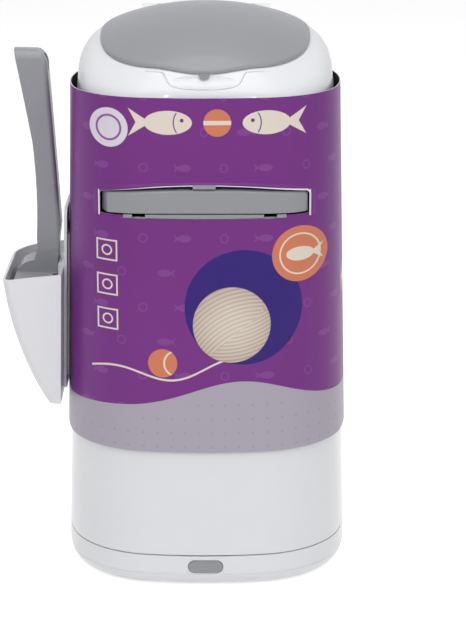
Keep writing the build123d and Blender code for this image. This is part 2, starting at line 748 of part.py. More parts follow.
def clamp_carriage():
    low = deck_top + 0.5
    jaw = block((-jaw_half_width, jaw_half_width), (jaw_back - jaw_depth, jaw_back), (low, jaw_top))
    cell = (2 * jaw_half_width - 5 * jaw_wall) / 4
    for i in range(4):
        x = -jaw_half_width + jaw_wall + i * (cell + jaw_wall)
        jaw -= block((x, x + cell), (jaw_back - jaw_depth + jaw_wall, jaw_back - jaw_wall),
                     (low + jaw_wall, jaw_top + 1))
    arm = block((jaw_half_width - arm_width, jaw_half_width), (arm_front, jaw_back - jaw_depth + 1),
                (arm_bottom, arm_top))
    tongue_z = (arm_bottom + arm_top) / 2
    tongue = block((jaw_half_width - 1, jaw_half_width + tongue_depth),
                   (jaw_back - tongue_length, jaw_back),
                   (tongue_z - tongue_height / 2, tongue_z + tongue_height / 2))
    for piece in mirrored(arm) + mirrored(tongue):
        jaw += piece
    for screw in handle_screw_holes(screw_radius + pin_fit, screw_head_radius + pin_fit):
        jaw -= screw
    return jaw


def jaw_seal(y):
    """Soft pad on a jaw's face."""
    low, high = deck_top + 1.5, jaw_top
    return block((-jaw_half_width + 6, jaw_half_width - 6), y, (low, high))


def fixed_jaw():
    front = rest_y + jaw_gap / 2 + jaw_seal_thickness
    jaw = block((-jaw_half_width, jaw_half_width), (front, front + jaw_depth), (deck_top, jaw_top))
    cell = (2 * jaw_half_width - 5 * jaw_wall) / 4
    for i in range(4):
        x = -jaw_half_width + jaw_wall + i * (cell + jaw_wall)
        jaw -= block((x, x + cell), (front + jaw_wall, front + jaw_depth - jaw_wall),
                     (deck_top + jaw_wall, jaw_top + 1))
    return jaw


def guide_rail():
    x = (rail_inner, rail_inner + rail_width)
    rail = block(x, (rail_front, rail_back), (deck_top, deck_top + rail_height))
    groove_z = (arm_bottom + arm_top) / 2
    rail -= block((rail_inner - 1, rail_inner + tongue_depth + rail_fit), (rail_front - 1, rail_back - 3),
                  (groove_z - tongue_height / 2 - rail_fit, groove_z + tongue_height / 2 + rail_fit))
    return rail


def handle_sill():
    sill = wall_ring(window_bottom, sill_top, -handle_proud + 0.7, wall + 2)
    keep = [(-sill_half_width, sill_half_width), (sill_lug_inner, sill_lug_outer),
            (-sill_lug_outer, -sill_lug_inner)]
    through = (clear_front, -pail_half_depth / 3)
    blocks = [block(x, through, (window_bottom, sill_top)) for x in keep]
    strip = block((-sill_lug_outer, sill_lug_outer), through, (window_bottom, window_bottom + 1.2))
    low = wall_ring(window_bottom, window_bottom + 1.2, 0, wall + 2) & strip
    for piece in blocks:
        low += sill & piece
    return low


# ---- deck, seat and refill cartridge ----

def screw_places(z):
    return [Pos(x, y, z) for x in (-boss_x, boss_x) for y in (-boss_y, boss_y)]


def clamp_deck():
    deck = wall_form(deck_z, deck_top, wall + sleeve_fit)
    throat = RectangleRounded(2 * throat_half_width, 2 * throat_half_depth, 12)
    deck -= column(Pos(0, throat_y) * throat, deck_z - 1, deck_top + 1)
    for place in screw_places(deck_z):
        deck -= place * Cylinder(screw_radius + screw_clearance, 20)
    return deck


def pan_screws(z):
    """Four pan-head screws, their heads on the face at z."""
    screw = Cylinder(screw_radius, screw_length, align=(Align.CENTER, Align.CENTER, Align.MAX))
    head = Cylinder(screw_head_radius, screw_head_height, align=(Align.CENTER, Align.CENTER, Align.MIN))
    screw += fillet(head.edges().group_by(Axis.Z)[-1], 0.8)
    return [place * screw for place in screw_places(z)]


def cartridge_seat():
    throat_w = cartridge_throat_half_width - cartridge_wall
    throat_d = cartridge_throat_half_depth - cartridge_wall
    seat = wall_form(seat_z, seat_top, wall + sleeve_fit)
    rim_w, rim_d = cartridge_half_width + cartridge_fit, cartridge_half_depth + cartridge_fit
    seat += column(cartridge_plan(rim_w + 2, rim_d + 2), seat_z + 1, seat_top + seat_rim_height)
    seat -= column(cartridge_plan(rim_w, rim_d), seat_top, seat_top + seat_rim_height + 1)
    seat += column(cartridge_plan(throat_w + 2, throat_d + 2), seat_collar_bottom, seat_z + 1)
    seat -= column(cartridge_plan(throat_w, throat_d), seat_collar_bottom - 1, seat_top + 1)
    for place in screw_places(seat_z):
        seat -= place * Cylinder(screw_radius + screw_clearance, 20)
    return seat


def cartridge_tub():
    top = seat_top + cartridge_height
    inner_top = top - inner_wall_drop
    inside = cartridge_plan(cartridge_half_width - cartridge_wall, cartridge_half_depth - cartridge_wall)
    throat_w, throat_d = cartridge_throat_half_width, cartridge_throat_half_depth
    tub = column(cartridge_plan(cartridge_half_width, cartridge_half_depth), seat_top, top)
    tub -= column(inside, seat_top + cartridge_wall, top + 1)
    tub += column(cartridge_plan(throat_w, throat_d), seat_top, inner_top)
    throat = cartridge_plan(throat_w - cartridge_wall, throat_d - cartridge_wall)
    return tub - column(throat, seat_top - 1, top)


def cartridge_cover():
    top = seat_top + cartridge_height
    cover = column(cartridge_plan(cartridge_half_width, cartridge_half_depth), top, top + cover_thickness)
    cover = fillet(cover.edges().group_by(Axis.Z)[-1], 1.2)
    hole_w, hole_d = cartridge_throat_half_width + cover_slot, cartridge_throat_half_depth + cover_slot
    return cover - column(cartridge_plan(hole_w, hole_d), top - 1, top + cover_thickness + 1)


def film_pack():
    inset = cartridge_wall + 1
    outer = cartridge_plan(cartridge_half_width - inset, cartridge_half_depth - inset)
    inner = cartridge_plan(cartridge_throat_half_width + 1, cartridge_throat_half_depth + 1)
    low = seat_top + cartridge_wall
    return column(outer, low, low + film_pack_height) - column(inner, low - 1, low + film_pack_height + 1)


def bag_film():
    """Bag drawn from the pack, over the inner wall and down the throat."""
    top = seat_top + cartridge_height - inner_wall_drop
    throat_w = cartridge_throat_half_width - cartridge_wall - 1.0
    throat_d = cartridge_throat_half_depth - cartridge_wall - 1.0
    outer = cartridge_plan(throat_w, throat_d)
    inner = cartridge_plan(throat_w - film_thickness, throat_d - film_thickness)
    film = column(outer, film_bottom, top + film_thickness)
    film += column(cartridge_plan(cartridge_throat_half_width + 4, cartridge_throat_half_depth + 4),
                   top, top + film_thickness)
    return film - column(inner, film_bottom - 1, top + 2)


# ---- scoop holder ----

def pocket_section(height, depth, inset):
    """Plan of the holder at one height: flat front and back, one small and one large outer corner."""
    x0, x1 = -holder_back_plane - inset, -depth + inset
    y0, y1 = holder_front + inset, holder_back - inset
    small = min(holder_front_round, 0.7 * (depth - holder_back_plane)) - inset
    large = min(holder_back_round, 0.74 * (depth - holder_back_plane)) - inset
    edges = [
        Line((x0, y1), (x0, y0)), Line((x0, y0), (x1 + small, y0)),
        CenterArc((x1 + small, y0 + small), small, 270, -90), Line((x1, y0 + small), (x1, y1 - large)),
        CenterArc((x1 + large, y1 - large), large, 180, -90), Line((x1 + large, y1), (x0, y1)),
    ]
    return Pos(0, 0, height) * Face(Wire(edges))


def pocket_form(inset):
    sections = [pocket_section(height + (inset if i == 0 else 0), depth, inset)
                for i, (height, depth) in enumerate(holder_depths)]
    return loft(sections)


def dovetail(grow, low, high):
    near, far = -holder_back_plane + 0.9, -bracket_face - dovetail_depth - grow
    neck, head = dovetail_neck / 2 + grow, dovetail_head / 2 + grow
    shape = make_face(Polyline((near, -neck), (far, -head), (far, head), (near, neck), close=True))
    return column(shape, low, high)


def scoop_holder():
    boss = block((-holder_boss_depth, -holder_back_plane), (-holder_boss_half_width, holder_boss_half_width),
                 (0, holder_rim_inner + 22))
    outer = pocket_form(0)
    holder = outer - pocket_form(holder_wall) + (boss & outer)
    holder -= dovetail(dovetail_fit, -1, dovetail_top + dovetail_fit)
    slope = (holder_rim_inner - holder_rim_outer) / (holder_depths[-2][1] - holder_back_plane)
    past, high = -80, holder_rim_inner + 42
    corners = ((past, holder_rim_inner + past * slope), (0, holder_rim_inner), (0, high), (past, high))
    holder -= extrude(Plane.XZ * make_face(Polyline(*corners, close=True)), pail_half_depth, both=True)
    return side_of_sleeve * holder


def holder_bracket():
    plate = RectangleRounded(2 * bracket_half_width, bracket_top - bracket_bottom, bracket_round)
    upright = Rot(0, -90, 0) * Rot(0, 0, 90) * plate
    plate = extrude(Pos(-pad_thickness, 0, (bracket_top + bracket_bottom) / 2) * upright, bracket_thickness,
                    dir=(-1, 0, 0))
    behind = block((-bracket_face + 0.2, 0), (-dovetail_head, dovetail_head), (0, bracket_top))
    rail = dovetail(0, dovetail_bottom, dovetail_top) - behind
    return side_of_sleeve * (plate + rail)


def holder_pad():
    pad = block((-pad_thickness, 8), (-pad_half_width, pad_half_width), (pad_bottom, pad_top))
    return side_of_sleeve * pad - wall_form(100, 360, pail_half_width - sleeve_half_width, sleeve_draft)


# ---- scoop ----

def scoop():
    """Slotted shovel and grip, one moulding."""
    shovel = shovel_form(0) - shovel_form(scoop_wall)
    for i in range(scoop_slot_count):
        y = (i - (scoop_slot_count - 1) / 2) * scoop_slot_pitch
        for low in (14, 66):
            slot = Pos(-scoop_floor + 2, y, low + scoop_slot_length / 2) * Rot(0, -90, 0) * SlotOverall(
                scoop_slot_length, scoop_slot_width)
            shovel -= extrude(slot, scoop_wall + 4, dir=(-1, 0, 0))
    return side_of_sleeve * (shovel + scoop_grip())


def shovel_form(inset):
    """Shovel between its side profile and its front outline; inset moves it in, out through the open side."""
    low, neck_v = scoop_tip + inset, scoop_neck_top - inset
    near, drop = -scoop_floor - inset, 0.4 * inset
    brow = (scoop_brow[0], neck_v - scoop_brow[1] + drop)
    bulge = (scoop_bulge[0] + drop, neck_v - scoop_bulge[1] + drop)
    lip = (scoop_lip + drop, scoop_hood_bottom)
    mouth = [Line((near, low), (near, neck_v)), Line((near, neck_v), brow), ThreePointArc(brow, bulge, lip)]
    if inset:
        far_top, far_low = (scoop_clear, scoop_hood_bottom), (scoop_clear, low)
        mouth += [Line(lip, far_top), Line(far_top, far_low), Line(far_low, (near, low))]
    else:
        toe = (-scoop_floor - scoop_wall, low)
        mouth += [ThreePointArc(lip, scoop_side_bow, toe), Line(toe, (near, low))]
    profile = extrude(Plane.XZ * Face(Wire(mouth)), scoop_half_width, both=True)
    half, neck = scoop_half_width - inset, scoop_neck_half_width - inset
    round_ = scoop_shoulder_radius - inset
    centre_y, centre_v = scoop_half_width - scoop_shoulder_radius, scoop_shoulder_v
    neck_start = centre_v + sqrt(round_**2 - (neck - centre_y)**2)
    middle = round_ / sqrt(2)
    right = [((half, low), (half, centre_v)), ((neck, neck_start), (neck, neck_v))]
    outline = Wire([
        Line(*right[0]),
        ThreePointArc((half, centre_v), (centre_y + middle, centre_v + middle), (neck, neck_start)),
        Line(*right[1]), Line((neck, neck_v), (-neck, neck_v)), Line((-neck, neck_v), (-neck, neck_start)),
        ThreePointArc((-neck, neck_start), (-centre_y - middle, centre_v + middle), (-half, centre_v)),
        Line((-half, centre_v), (-half, low)), Line((-half, low), (half, low)),
    ])
    return profile & extrude(Plane.YZ * Face(outline), 90, both=True)


def scoop_grip():
    """Grip between its side profile and its front outline, which has a rounded top."""
    top = grip_top
    inner_top, inner_round, inner_high = [(x, top + drop) for x, drop in grip_inner_edge]
    root_in, root_out = (grip_root[0], scoop_neck_top - 1), (grip_root[1], scoop_neck_top - 13)
    waist_low, waist, waist_high, bow = grip_outer_edge
    outline = Wire([
        Line((grip_tip, top), inner_top), ThreePointArc(inner_top, inner_round, inner_high),
        ThreePointArc(inner_high, grip_inner_bow, grip_foot), Line(grip_foot, root_in),
        Line(root_in, root_out), ThreePointArc(root_out, (waist_low[0] - 0.8, scoop_neck_top - 5), waist_low),
        ThreePointArc(waist_low, waist, waist_high), ThreePointArc(waist_high, bow, (grip_tip, top)),
    ])
    grip = extrude(Plane.XZ * Face(outline), grip_half_width, both=True)
    sides = grip.edges().filter_by(lambda edge: abs(abs(edge.center().Y) - grip_half_width) < 0.1)
    inner = [edge for edge in sides if edge.center().X > waist[0] and edge.center().Z > grip_foot[1]]
    grip = fillet(inner, grip_inner_round)
    face = Pos(0, grip_top / 2) * Rectangle(2 * grip_half_width, grip_top)
    face = fillet(face.vertices().group_by(Axis.Y)[-1], grip_top_round)
    grip &= extrude(Plane.YZ * face, 90, both=True)
    slot = SlotOverall(hang_hole_length, hang_hole_width)
    hole = Pos(inner_top[0], 0, top - hang_hole_drop) * Rot(0, -90, 0) * slot
    return grip - extrude(hole, scoop_half_width, both=True, dir=(-1, 0, 0))


parts = {
    "base_tray": base_tray,
    "foot_ring": foot_ring,
    "base_hinge_lugs": base_hinge_lugs,
    "shell_hinge_lugs": shell_hinge_lugs,
    "tilt_hinge_pins": tilt_pins,
    "release_button": release_button,
    "button_spring": button_spring,
    "pail_shell": pail_shell,
    "top_dome": top_dome,
    "display_sleeve": display_sleeve,
    "lid_shell": lid_shell,
    "lid_liner": lid_liner,
    "lid_seal": lid_seal,
    "lid_catch": lid_catch,
    "lid_hinge_pin": lid_pin,
    "handle_bar": handle_bar,
    "handle_screws": lambda: handle_screw_holes(screw_radius, screw_head_radius),
    "handle_sill": handle_sill,
    "window_clip": window_clip,
    "clamp_carriage": clamp_carriage,
    "moving_jaw_seal": lambda: jaw_seal((rest_y - jaw_gap / 2 - jaw_seal_thickness, rest_y - jaw_gap / 2)),
    "fixed_jaw": fixed_jaw,
    "fixed_jaw_seal": lambda: jaw_seal((rest_y + jaw_gap / 2, rest_y + jaw_gap / 2 + jaw_seal_thickness)),
    "guide_rail_right": guide_rail,
    "guide_rail_left": lambda: mirror(guide_rail(), Plane.YZ),
    "clamp_deck": clamp_deck,
    "deck_screws": lambda: pan_screws(deck_top),
    "cartridge_seat": cartridge_seat,
    "seat_screws": lambda: pan_screws(seat_top),
    "cartridge_tub": cartridge_tub,
    "cartridge_cover": cartridge_cover,
    "film_pack": film_pack,
    "bag_film": bag_film,
    "scoop_holder": scoop_holder,
    "holder_bracket": holder_bracket,
    "holder_pad": holder_pad,
    "scoop": scoop,
}

os.makedirs("parts", exist_ok=True)
for name, make in parts.items():
    made = make()
    solids = [s for piece in (made if isinstance(made, list) else [made]) for s in piece.solids()]
    export_step(solids[0] if len(solids) == 1 else Compound(children=solids), f"parts/{name}.step")
    print(name, len(solids), "solids", round(sum(s.volume for s in solids)), "mm3")
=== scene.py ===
import json
import math
import random

import bmesh
import bpy
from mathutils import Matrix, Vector
from mathutils.bvhtree import BVHTree


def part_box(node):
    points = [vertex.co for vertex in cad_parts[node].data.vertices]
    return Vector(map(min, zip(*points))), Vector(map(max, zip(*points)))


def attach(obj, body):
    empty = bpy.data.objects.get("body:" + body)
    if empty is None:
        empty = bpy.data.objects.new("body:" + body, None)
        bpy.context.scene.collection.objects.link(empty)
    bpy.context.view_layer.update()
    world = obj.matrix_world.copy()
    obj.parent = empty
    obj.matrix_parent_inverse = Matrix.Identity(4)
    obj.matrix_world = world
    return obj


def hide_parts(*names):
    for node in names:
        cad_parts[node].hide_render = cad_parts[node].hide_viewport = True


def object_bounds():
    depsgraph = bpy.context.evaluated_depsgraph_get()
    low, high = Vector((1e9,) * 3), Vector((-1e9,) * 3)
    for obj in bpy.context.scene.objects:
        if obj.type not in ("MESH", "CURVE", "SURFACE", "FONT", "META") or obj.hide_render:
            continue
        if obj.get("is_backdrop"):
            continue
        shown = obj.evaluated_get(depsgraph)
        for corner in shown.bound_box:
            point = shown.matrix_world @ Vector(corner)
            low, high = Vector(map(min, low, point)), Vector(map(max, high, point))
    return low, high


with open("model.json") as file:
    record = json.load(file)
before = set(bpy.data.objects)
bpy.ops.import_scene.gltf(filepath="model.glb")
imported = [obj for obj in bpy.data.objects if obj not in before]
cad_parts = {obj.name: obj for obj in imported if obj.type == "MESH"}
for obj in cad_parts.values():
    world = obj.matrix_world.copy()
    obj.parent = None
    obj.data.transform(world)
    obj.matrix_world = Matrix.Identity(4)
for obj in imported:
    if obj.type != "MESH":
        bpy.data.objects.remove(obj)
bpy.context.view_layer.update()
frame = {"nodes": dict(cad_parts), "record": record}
nodes = frame["nodes"]
print("frame loaded,", len(nodes), "nodes")


class Signal:
    # one socket of a material, so that a plain expression adds its Math nodes
    def __init__(self, graph, socket):
        self.graph = graph
        self.socket = socket

    def math(self, operation, *others):
        return self.graph.add("ShaderNodeMath", {"operation": operation}, dict(enumerate((self, *others))))

    def __add__(self, other):
        return self.math("ADD", other)

    def __radd__(self, other):
        return self.math("ADD", other)

    def __sub__(self, other):
        return self.math("SUBTRACT", other)

    def __rsub__(self, other):
        return self.graph.add("ShaderNodeMath", {"operation": "SUBTRACT"}, {0: other, 1: self})

    def __mul__(self, other):
        return self.math("MULTIPLY", other)

    def __rmul__(self, other):
        return self.math("MULTIPLY", other)

    def __truediv__(self, other):
        return self.math("DIVIDE", other)

    def __pow__(self, other):
        return self.math("POWER", other)

    def __neg__(self):
        return self.math("MULTIPLY", -1.0)

    def __abs__(self):
        return self.math("ABSOLUTE")

    def below(self, limit, soft):
        # 1 where the value is under the limit, 0 above it, with a soft edge
        return self.graph.add("ShaderNodeMapRange", {"interpolation_type": "SMOOTHSTEP"}, {
            "Value": self, "From Min": limit - soft, "From Max": limit + soft, "To Min": 1.0, "To Max": 0.0})

    def above(self, limit, soft):
        return self.graph.add("ShaderNodeMapRange", {"interpolation_type": "SMOOTHSTEP"}, {
            "Value": self, "From Min": limit - soft, "From Max": limit + soft, "To Min": 0.0, "To Max": 1.0})


class Graph:
    # the node tree of a material, or a tree that is there already
    def __init__(self, name=None, tree=None):
        if tree is None:
            self.material = bpy.data.materials.new(name)
            self.material.use_nodes = True
            tree = self.material.node_tree
        self.tree = tree
        self.tree.nodes.clear()

    def add(self, kind, settings=None, values=None, output=0):
        node = self.tree.nodes.new(kind)
        for key, value in (settings or {}).items():
            if key == "stops":
                ramp = node.color_ramp
                while len(ramp.elements) < len(value):
                    ramp.elements.new(0.5)
                for element, (place, color) in zip(ramp.elements, value):
                    element.position = place
                    element.color = color if len(color) == 4 else (*color, 1.0)
            else:
                setattr(node, key, value)
        for key, value in (values or {}).items():
            if isinstance(value, Signal):
                self.tree.links.new(value.socket, node.inputs[key])
            else:
                node.inputs[key].default_value = value
        return Signal(self, node.outputs[output]) if len(node.outputs) else None

    def place(self, output="Object"):
        return self.add("ShaderNodeTexCoord", output=output)

    def split(self, vector):
        node = self.add("ShaderNodeSeparateXYZ", values={"Vector": vector}).socket.node
        return [Signal(self, socket) for socket in node.outputs]

    def noise(self, scale, detail=2.0, vector=None, roughness=0.5):
        return self.add("ShaderNodeTexNoise", {"noise_dimensions": "3D"}, {
            "Vector": vector or self.place(), "Scale": scale, "Detail": detail, "Roughness": roughness})

    def mix(self, factor, first, second):
        node = self.tree.nodes.new("ShaderNodeMix")
        node.data_type = "RGBA"
        # inputs 6 and 7 are the two colours, output 2 the mixed one
        sockets = (node.inputs["Factor"], node.inputs[6], node.inputs[7])
        for socket, value in zip(sockets, (factor, first, second)):
            if isinstance(value, Signal):
                self.tree.links.new(value.socket, socket)
            elif isinstance(value, tuple):
                socket.default_value = (*value[:3], 1.0)
            else:
                socket.default_value = value
        return Signal(self, node.outputs[2])

    def bump(self, height, distance, strength=1.0, below=None):
        values = {"Height": height, "Distance": distance, "Strength": strength}
        if below:
            values["Normal"] = below
        return self.add("ShaderNodeBump", values=values)

    def finish(self, **values):
        named = {key.replace("_", " "): value for key, value in values.items()}
        shader = self.add("ShaderNodeBsdfPrincipled", values=named)
        self.add("ShaderNodeOutputMaterial", values={"Surface": shader})
        return self.material


def srgb(red, green, blue):
    def toLinear(value):
        value /= 255.0
        return value / 12.92 if value <= 0.04045 else ((value + 0.055) / 1.055) ** 2.4
    return (toLinear(red), toLinear(green), toLinear(blue), 1.0)


plasticLook = {"grain": 1500.0, "grainHeight": 0.00002, "cloud": 14.0, "flow": 38.0, "scuff": 90.0}


def mouldedPlastic(name, color, roughness, coat=0.0, grainStrength=0.25, dust=0.02):
    # satin moulding: spark-eroded grain, faint flow clouds and a few shinier scuffs
    graph = Graph(name)
    cloud = graph.noise(plasticLook["cloud"], 3.0)
    flow = graph.noise(plasticLook["flow"], 2.0)
    scuff = graph.noise(plasticLook["scuff"], 5.0, roughness=0.7)
    grain = graph.noise(plasticLook["grain"], 1.0)
    tone = graph.mix(cloud.above(0.5, 0.3) * dust * 2.0, color, tuple(0.9 * c for c in color[:3]))
    tone = graph.mix(flow.above(0.56, 0.2) * dust, tone, tuple(min(1.0, 1.1 * c) for c in color[:3]))
    scratches = scuff.above(0.66, 0.06)
    return graph.finish(
        Base_Color=tone, Roughness=roughness + (cloud - 0.5) * 0.08 - scratches * 0.05,
        Coat_Weight=coat, Coat_Roughness=0.07, IOR=1.49,
        Normal=graph.bump(grain, plasticLook["grainHeight"], grainStrength))


def steelLook():
    graph = Graph("platedSteel")
    streak = graph.noise(400.0, 3.0)
    return graph.finish(Base_Color=srgb(178, 178, 176), Metallic=1.0, Roughness=0.3 + streak * 0.15,
                        Normal=graph.bump(streak, 0.00002, 0.3))


def rubberLook():
    graph = Graph("softRubber")
    grain = graph.noise(900.0, 2.0)
    return graph.finish(Base_Color=graph.mix(grain, srgb(34, 34, 36), srgb(48, 48, 50)), Roughness=0.75,
                        Normal=graph.bump(grain, 0.00004, 0.4))


def foamLook():
    graph = Graph("foamTape")
    cells = graph.add("ShaderNodeTexVoronoi", {"feature": "F1"}, {"Vector": graph.place(), "Scale": 1400.0})
    return graph.finish(Base_Color=graph.mix(cells, srgb(206, 206, 202), srgb(232, 232, 228)), Roughness=0.9,
                        Normal=graph.bump(cells, 0.0001, 0.6))


def filmLook():
    graph = Graph("bagFilm")
    crease = graph.noise(160.0, 4.0, roughness=0.65)
    haze = graph.noise(30.0, 3.0)
    return graph.finish(Base_Color=graph.mix(haze, srgb(206, 214, 222), srgb(226, 230, 234)),
                        Roughness=0.24 + crease * 0.2, Coat_Weight=0.3, Alpha=0.86 + haze * 0.1,
                        Normal=graph.bump(crease, 0.0006, 0.7))


print("plain finishes ready")

# the near-black colour for the board's inner side is painted shade, not the card's own colour
art = {
    "purple": srgb(127, 56, 141), "deepPurple": srgb(116, 48, 130), "light": srgb(152, 92, 166),
    "lilac": srgb(181, 174, 188), "lilacDeep": srgb(160, 148, 172), "coral": srgb(220, 132, 98),
    "indigo": srgb(54, 34, 122), "cream": srgb(236, 226, 212), "strand": srgb(188, 166, 150),
    "pale": srgb(232, 224, 236), "card": srgb(222, 208, 222), "inside": srgb(40, 34, 44)}

# places are (x, z) on the front, in metres
motifs = {
    "girth": 0.118, "cells": 20, "rowHeight": 0.030, "fishSize": 0.0062, "ringSize": 0.0034,
    "waveMiddle": 0.174, "waveHeight": 0.013, "beadPitch": 0.0125, "beadSize": 0.0011,
    "indigo": (0.033, 0.255, 0.050), "coral": (0.081, 0.299, 0.024), "toy": (-0.036, 0.206, 0.0125),
    "ball": (0.023, 0.240, 0.033), "label": (-0.080, 0.407, 0.0165),
    "badges": [(-0.083, 0.302), (-0.083, 0.272), (-0.083, 0.242)], "badgeSize": 0.0092,
    "swimmers": [(-0.030, 0.413, 0.020, 1.0), (0.052, 0.413, 0.020, -1.0)], "float": (0.011, 0.413, 0.0115)}

# the other sides: (y, z, radius) on the right and (x, z, radius) on the back
sideDiscs = {"right": [(0.012, 0.318, 0.024), (-0.020, 0.262, 0.015)],
             "back": [(-0.034, 0.300, 0.046), (0.052, 0.340, 0.028)]}
fishLook = {"plump": 2.0, "waist": 0.72, "fork": 0.62, "notch": 0.55, "tail": 0.62}
woolLook = {"winds": [(0.9, 0.43, 0.0), (-0.42, 0.91, 0.012), (0.15, -0.99, -0.014)],
            "spread": 0.15, "curl": 9.0, "strands": 1500.0, "edge": -0.004}


def length2(graph, u, v):
    pair = graph.add("ShaderNodeCombineXYZ", values={"X": u, "Y": v})
    return graph.add("ShaderNodeVectorMath", {"operation": "LENGTH"}, {0: pair}, output=1)


def fishShape(graph, u, v, size, soft=0.0003):
    # an oval body with a forked tail behind it; the fish swims towards +u
    body = length2(graph, u, v * fishLook["plump"]).below(size, soft)
    behind = -u - fishLook["waist"] * size
    tail = (abs(v) - behind * fishLook["fork"]).below(0.0, soft) * behind.above(0.0, soft)
    tail = tail * (behind - abs(v) * fishLook["notch"]).below(fishLook["tail"] * size, soft)
    return body.math("MAXIMUM", tail)


def yarnBall(graph, color, x, z, place):
    # a wound ball: three layers of strands that cross, darker towards its edge
    cx, cz, radius = place
    u, v = x - cx, z - cz
    reach = length2(graph, u, v)
    strands = None
    for index, (du, dv, offset) in enumerate(woolLook["winds"]):
        across = u * du + v * dv + offset
        along = u * -dv + v * du
        curl = across * (1.0 + woolLook["spread"] * index) + along * along * woolLook["curl"]
        layer = (curl * woolLook["strands"]).math("SINE") * 0.5 + 0.5
        patch = (across + along * 0.6).above(woolLook["edge"], 0.0004) if index else None
        strands = layer if strands is None else strands + (layer - strands) * patch
    shade = (reach / radius) ** 2.0 * 0.55 + strands * 0.5
    wool = graph.mix(shade, art["cream"], art["strand"])
    return graph.mix(reach.below(radius, 0.0003), color, wool)


def sleeveLook():
    graph = Graph("printedBoard")
    x, y, z = graph.split(graph.place())
    nx, ny, nz = graph.split(graph.place("Normal"))
    front = y.below(0.0, 0.0001)
    rear = 1.0 - front
    onRight = x.above(0.09, 0.0001)

    def disc(place, soft=0.0003):
        cx, cz, radius = place
        return length2(graph, x - cx, z - cz).below(radius, soft)

    def hoop(u, v, radius, width, soft=0.0002):
        return abs(length2(graph, u, v) - radius).below(width, soft)

    # purple field with a tone-on-tone pattern of little fish and rings that runs round the pail
    color = graph.mix(graph.noise(6.0, 2.0), art["purple"], art["deepPurple"])
    turn = y.math("ARCTAN2", x) * (motifs["cells"] / math.tau)
    rows = z / motifs["rowHeight"]
    odd = rows.math("FLOOR").math("PINGPONG", 1.0)
    steps = turn + odd * 0.5
    pitch = motifs["girth"] * math.tau / motifs["cells"]
    u = (steps.math("FRACT") - 0.5) * pitch
    v = (rows.math("FRACT") - 0.5) * motifs["rowHeight"]
    turned = steps.math("FLOOR").math("PINGPONG", 1.0)
    fish = fishShape(graph, u * (1.0 - odd * 2.0), v, motifs["fishSize"])
    rings = hoop(u, v, motifs["ringSize"], 0.0006)
    pattern = fish * (1.0 - turned) + rings * turned
    color = graph.mix(pattern * 0.4, color, art["light"])

    # front: a label disc, two fish with a float between them, and the big discs below the handle
    color = graph.mix(disc(motifs["label"]) * front, color, art["pale"])
    lx, lz, radius = motifs["label"]
    color = graph.mix(hoop(x - lx, z - lz, radius * 0.62, 0.0009) * front, color, art["light"])
    for fx, fz, size, heading in motifs["swimmers"]:
        swimmer = fishShape(graph, (x - fx) * heading, z - fz, size)
        color = graph.mix(swimmer * front, color, art["cream"])
        eye = length2(graph, x - (fx + 0.58 * size * heading), z - (fz + 0.1 * size)).below(0.0016, 0.0002)
        gill = hoop((x - (fx + 0.95 * size * heading)), z - fz, 0.72 * size, 0.0005)
        inBody = length2(graph, x - fx, (z - fz) * 2.0).below(size * 0.9, 0.0003)
        color = graph.mix((eye.math("MAXIMUM", gill * inBody)) * front, color, art["purple"])
    color = graph.mix(disc(motifs["float"]) * front, color, art["coral"])
    stripe = abs(z - motifs["float"][1]).below(0.0018, 0.0003)
    color = graph.mix(disc(motifs["float"]) * stripe * front, color, art["cream"])
    color = graph.mix(disc(motifs["indigo"]) * front, color, art["indigo"])
    color = graph.mix(disc(motifs["coral"]) * front, color, art["coral"])
    cx, cz, radius = motifs["coral"]
    color = graph.mix(hoop(x - cx, z - cz, radius * 0.72, 0.0007) * front, color, art["cream"])
    color = graph.mix(fishShape(graph, cx - x, z - cz, radius * 0.5) * front, color, art["cream"])
    for px, pz in motifs["badges"]:
        square = abs(x - px).math("MAXIMUM", abs(z - pz))
        frameLine = abs(square - motifs["badgeSize"] * 0.92).below(0.0007, 0.0002)
        color = graph.mix(frameLine * front, color, art["cream"])
        color = graph.mix(hoop(x - px, z - pz, 0.0040, 0.0007) * front, color, art["cream"])

    # the other sides: discs with a fish in each, the large ones indigo
    for side, where, across in (("right", onRight, y), ("back", rear, x)):
        for middle, cz, radius in sideDiscs[side]:
            shape = length2(graph, across - middle, z - cz)
            tint = art["indigo"] if radius > 0.03 else art["coral"]
            color = graph.mix(shape.below(radius, 0.0003) * where, color, tint)
            swimmer = fishShape(graph, across - middle, z - cz, radius * 0.55)
            color = graph.mix(swimmer * where, color, art["cream"])

    # pale band along the bottom with a wavy upper edge, small beads on it and a loose thread
    bend = (x * 21.0 + 0.9).math("SINE") * motifs["waveHeight"] + (x * 47.0).math("SINE") * 0.003
    edge = bend * (front * 2.0 - 1.0) + motifs["waveMiddle"]
    band = (z - edge).below(0.0, 0.0003)
    color = graph.mix(band, color, art["lilac"])
    beadU = ((turn * 3.0).math("FRACT") - 0.5) * (pitch / 3.0)
    beadV = ((z / motifs["beadPitch"]).math("FRACT") - 0.5) * motifs["beadPitch"]
    beads = length2(graph, beadU, beadV).below(motifs["beadSize"], 0.0002) * (z - edge).below(-0.012, 0.001)
    color = graph.mix(beads * 0.55, color, art["lilacDeep"])
    yx, yz, radius = motifs["ball"]
    thread = (x * 62.0).math("SINE") * 0.0065 + (x * 23.0).math("SINE") * 0.006 + (yz - radius - 0.006)
    line = abs(z - thread).below(0.0009, 0.0003) * x.below(yx + 0.012, 0.0004) * x.above(-0.098, 0.0004)
    color = graph.mix(line * front, color, art["cream"])
    color = graph.mix(front, color, yarnBall(graph, color, x, z, motifs["ball"]))
    color = graph.mix(disc(motifs["toy"]) * front, color, art["coral"])
    tx, tz, radius = motifs["toy"]
    color = graph.mix(hoop(x - tx - radius, z - tz, radius * 0.9, 0.0008) * disc(motifs["toy"]) * front,
                      color, art["cream"])
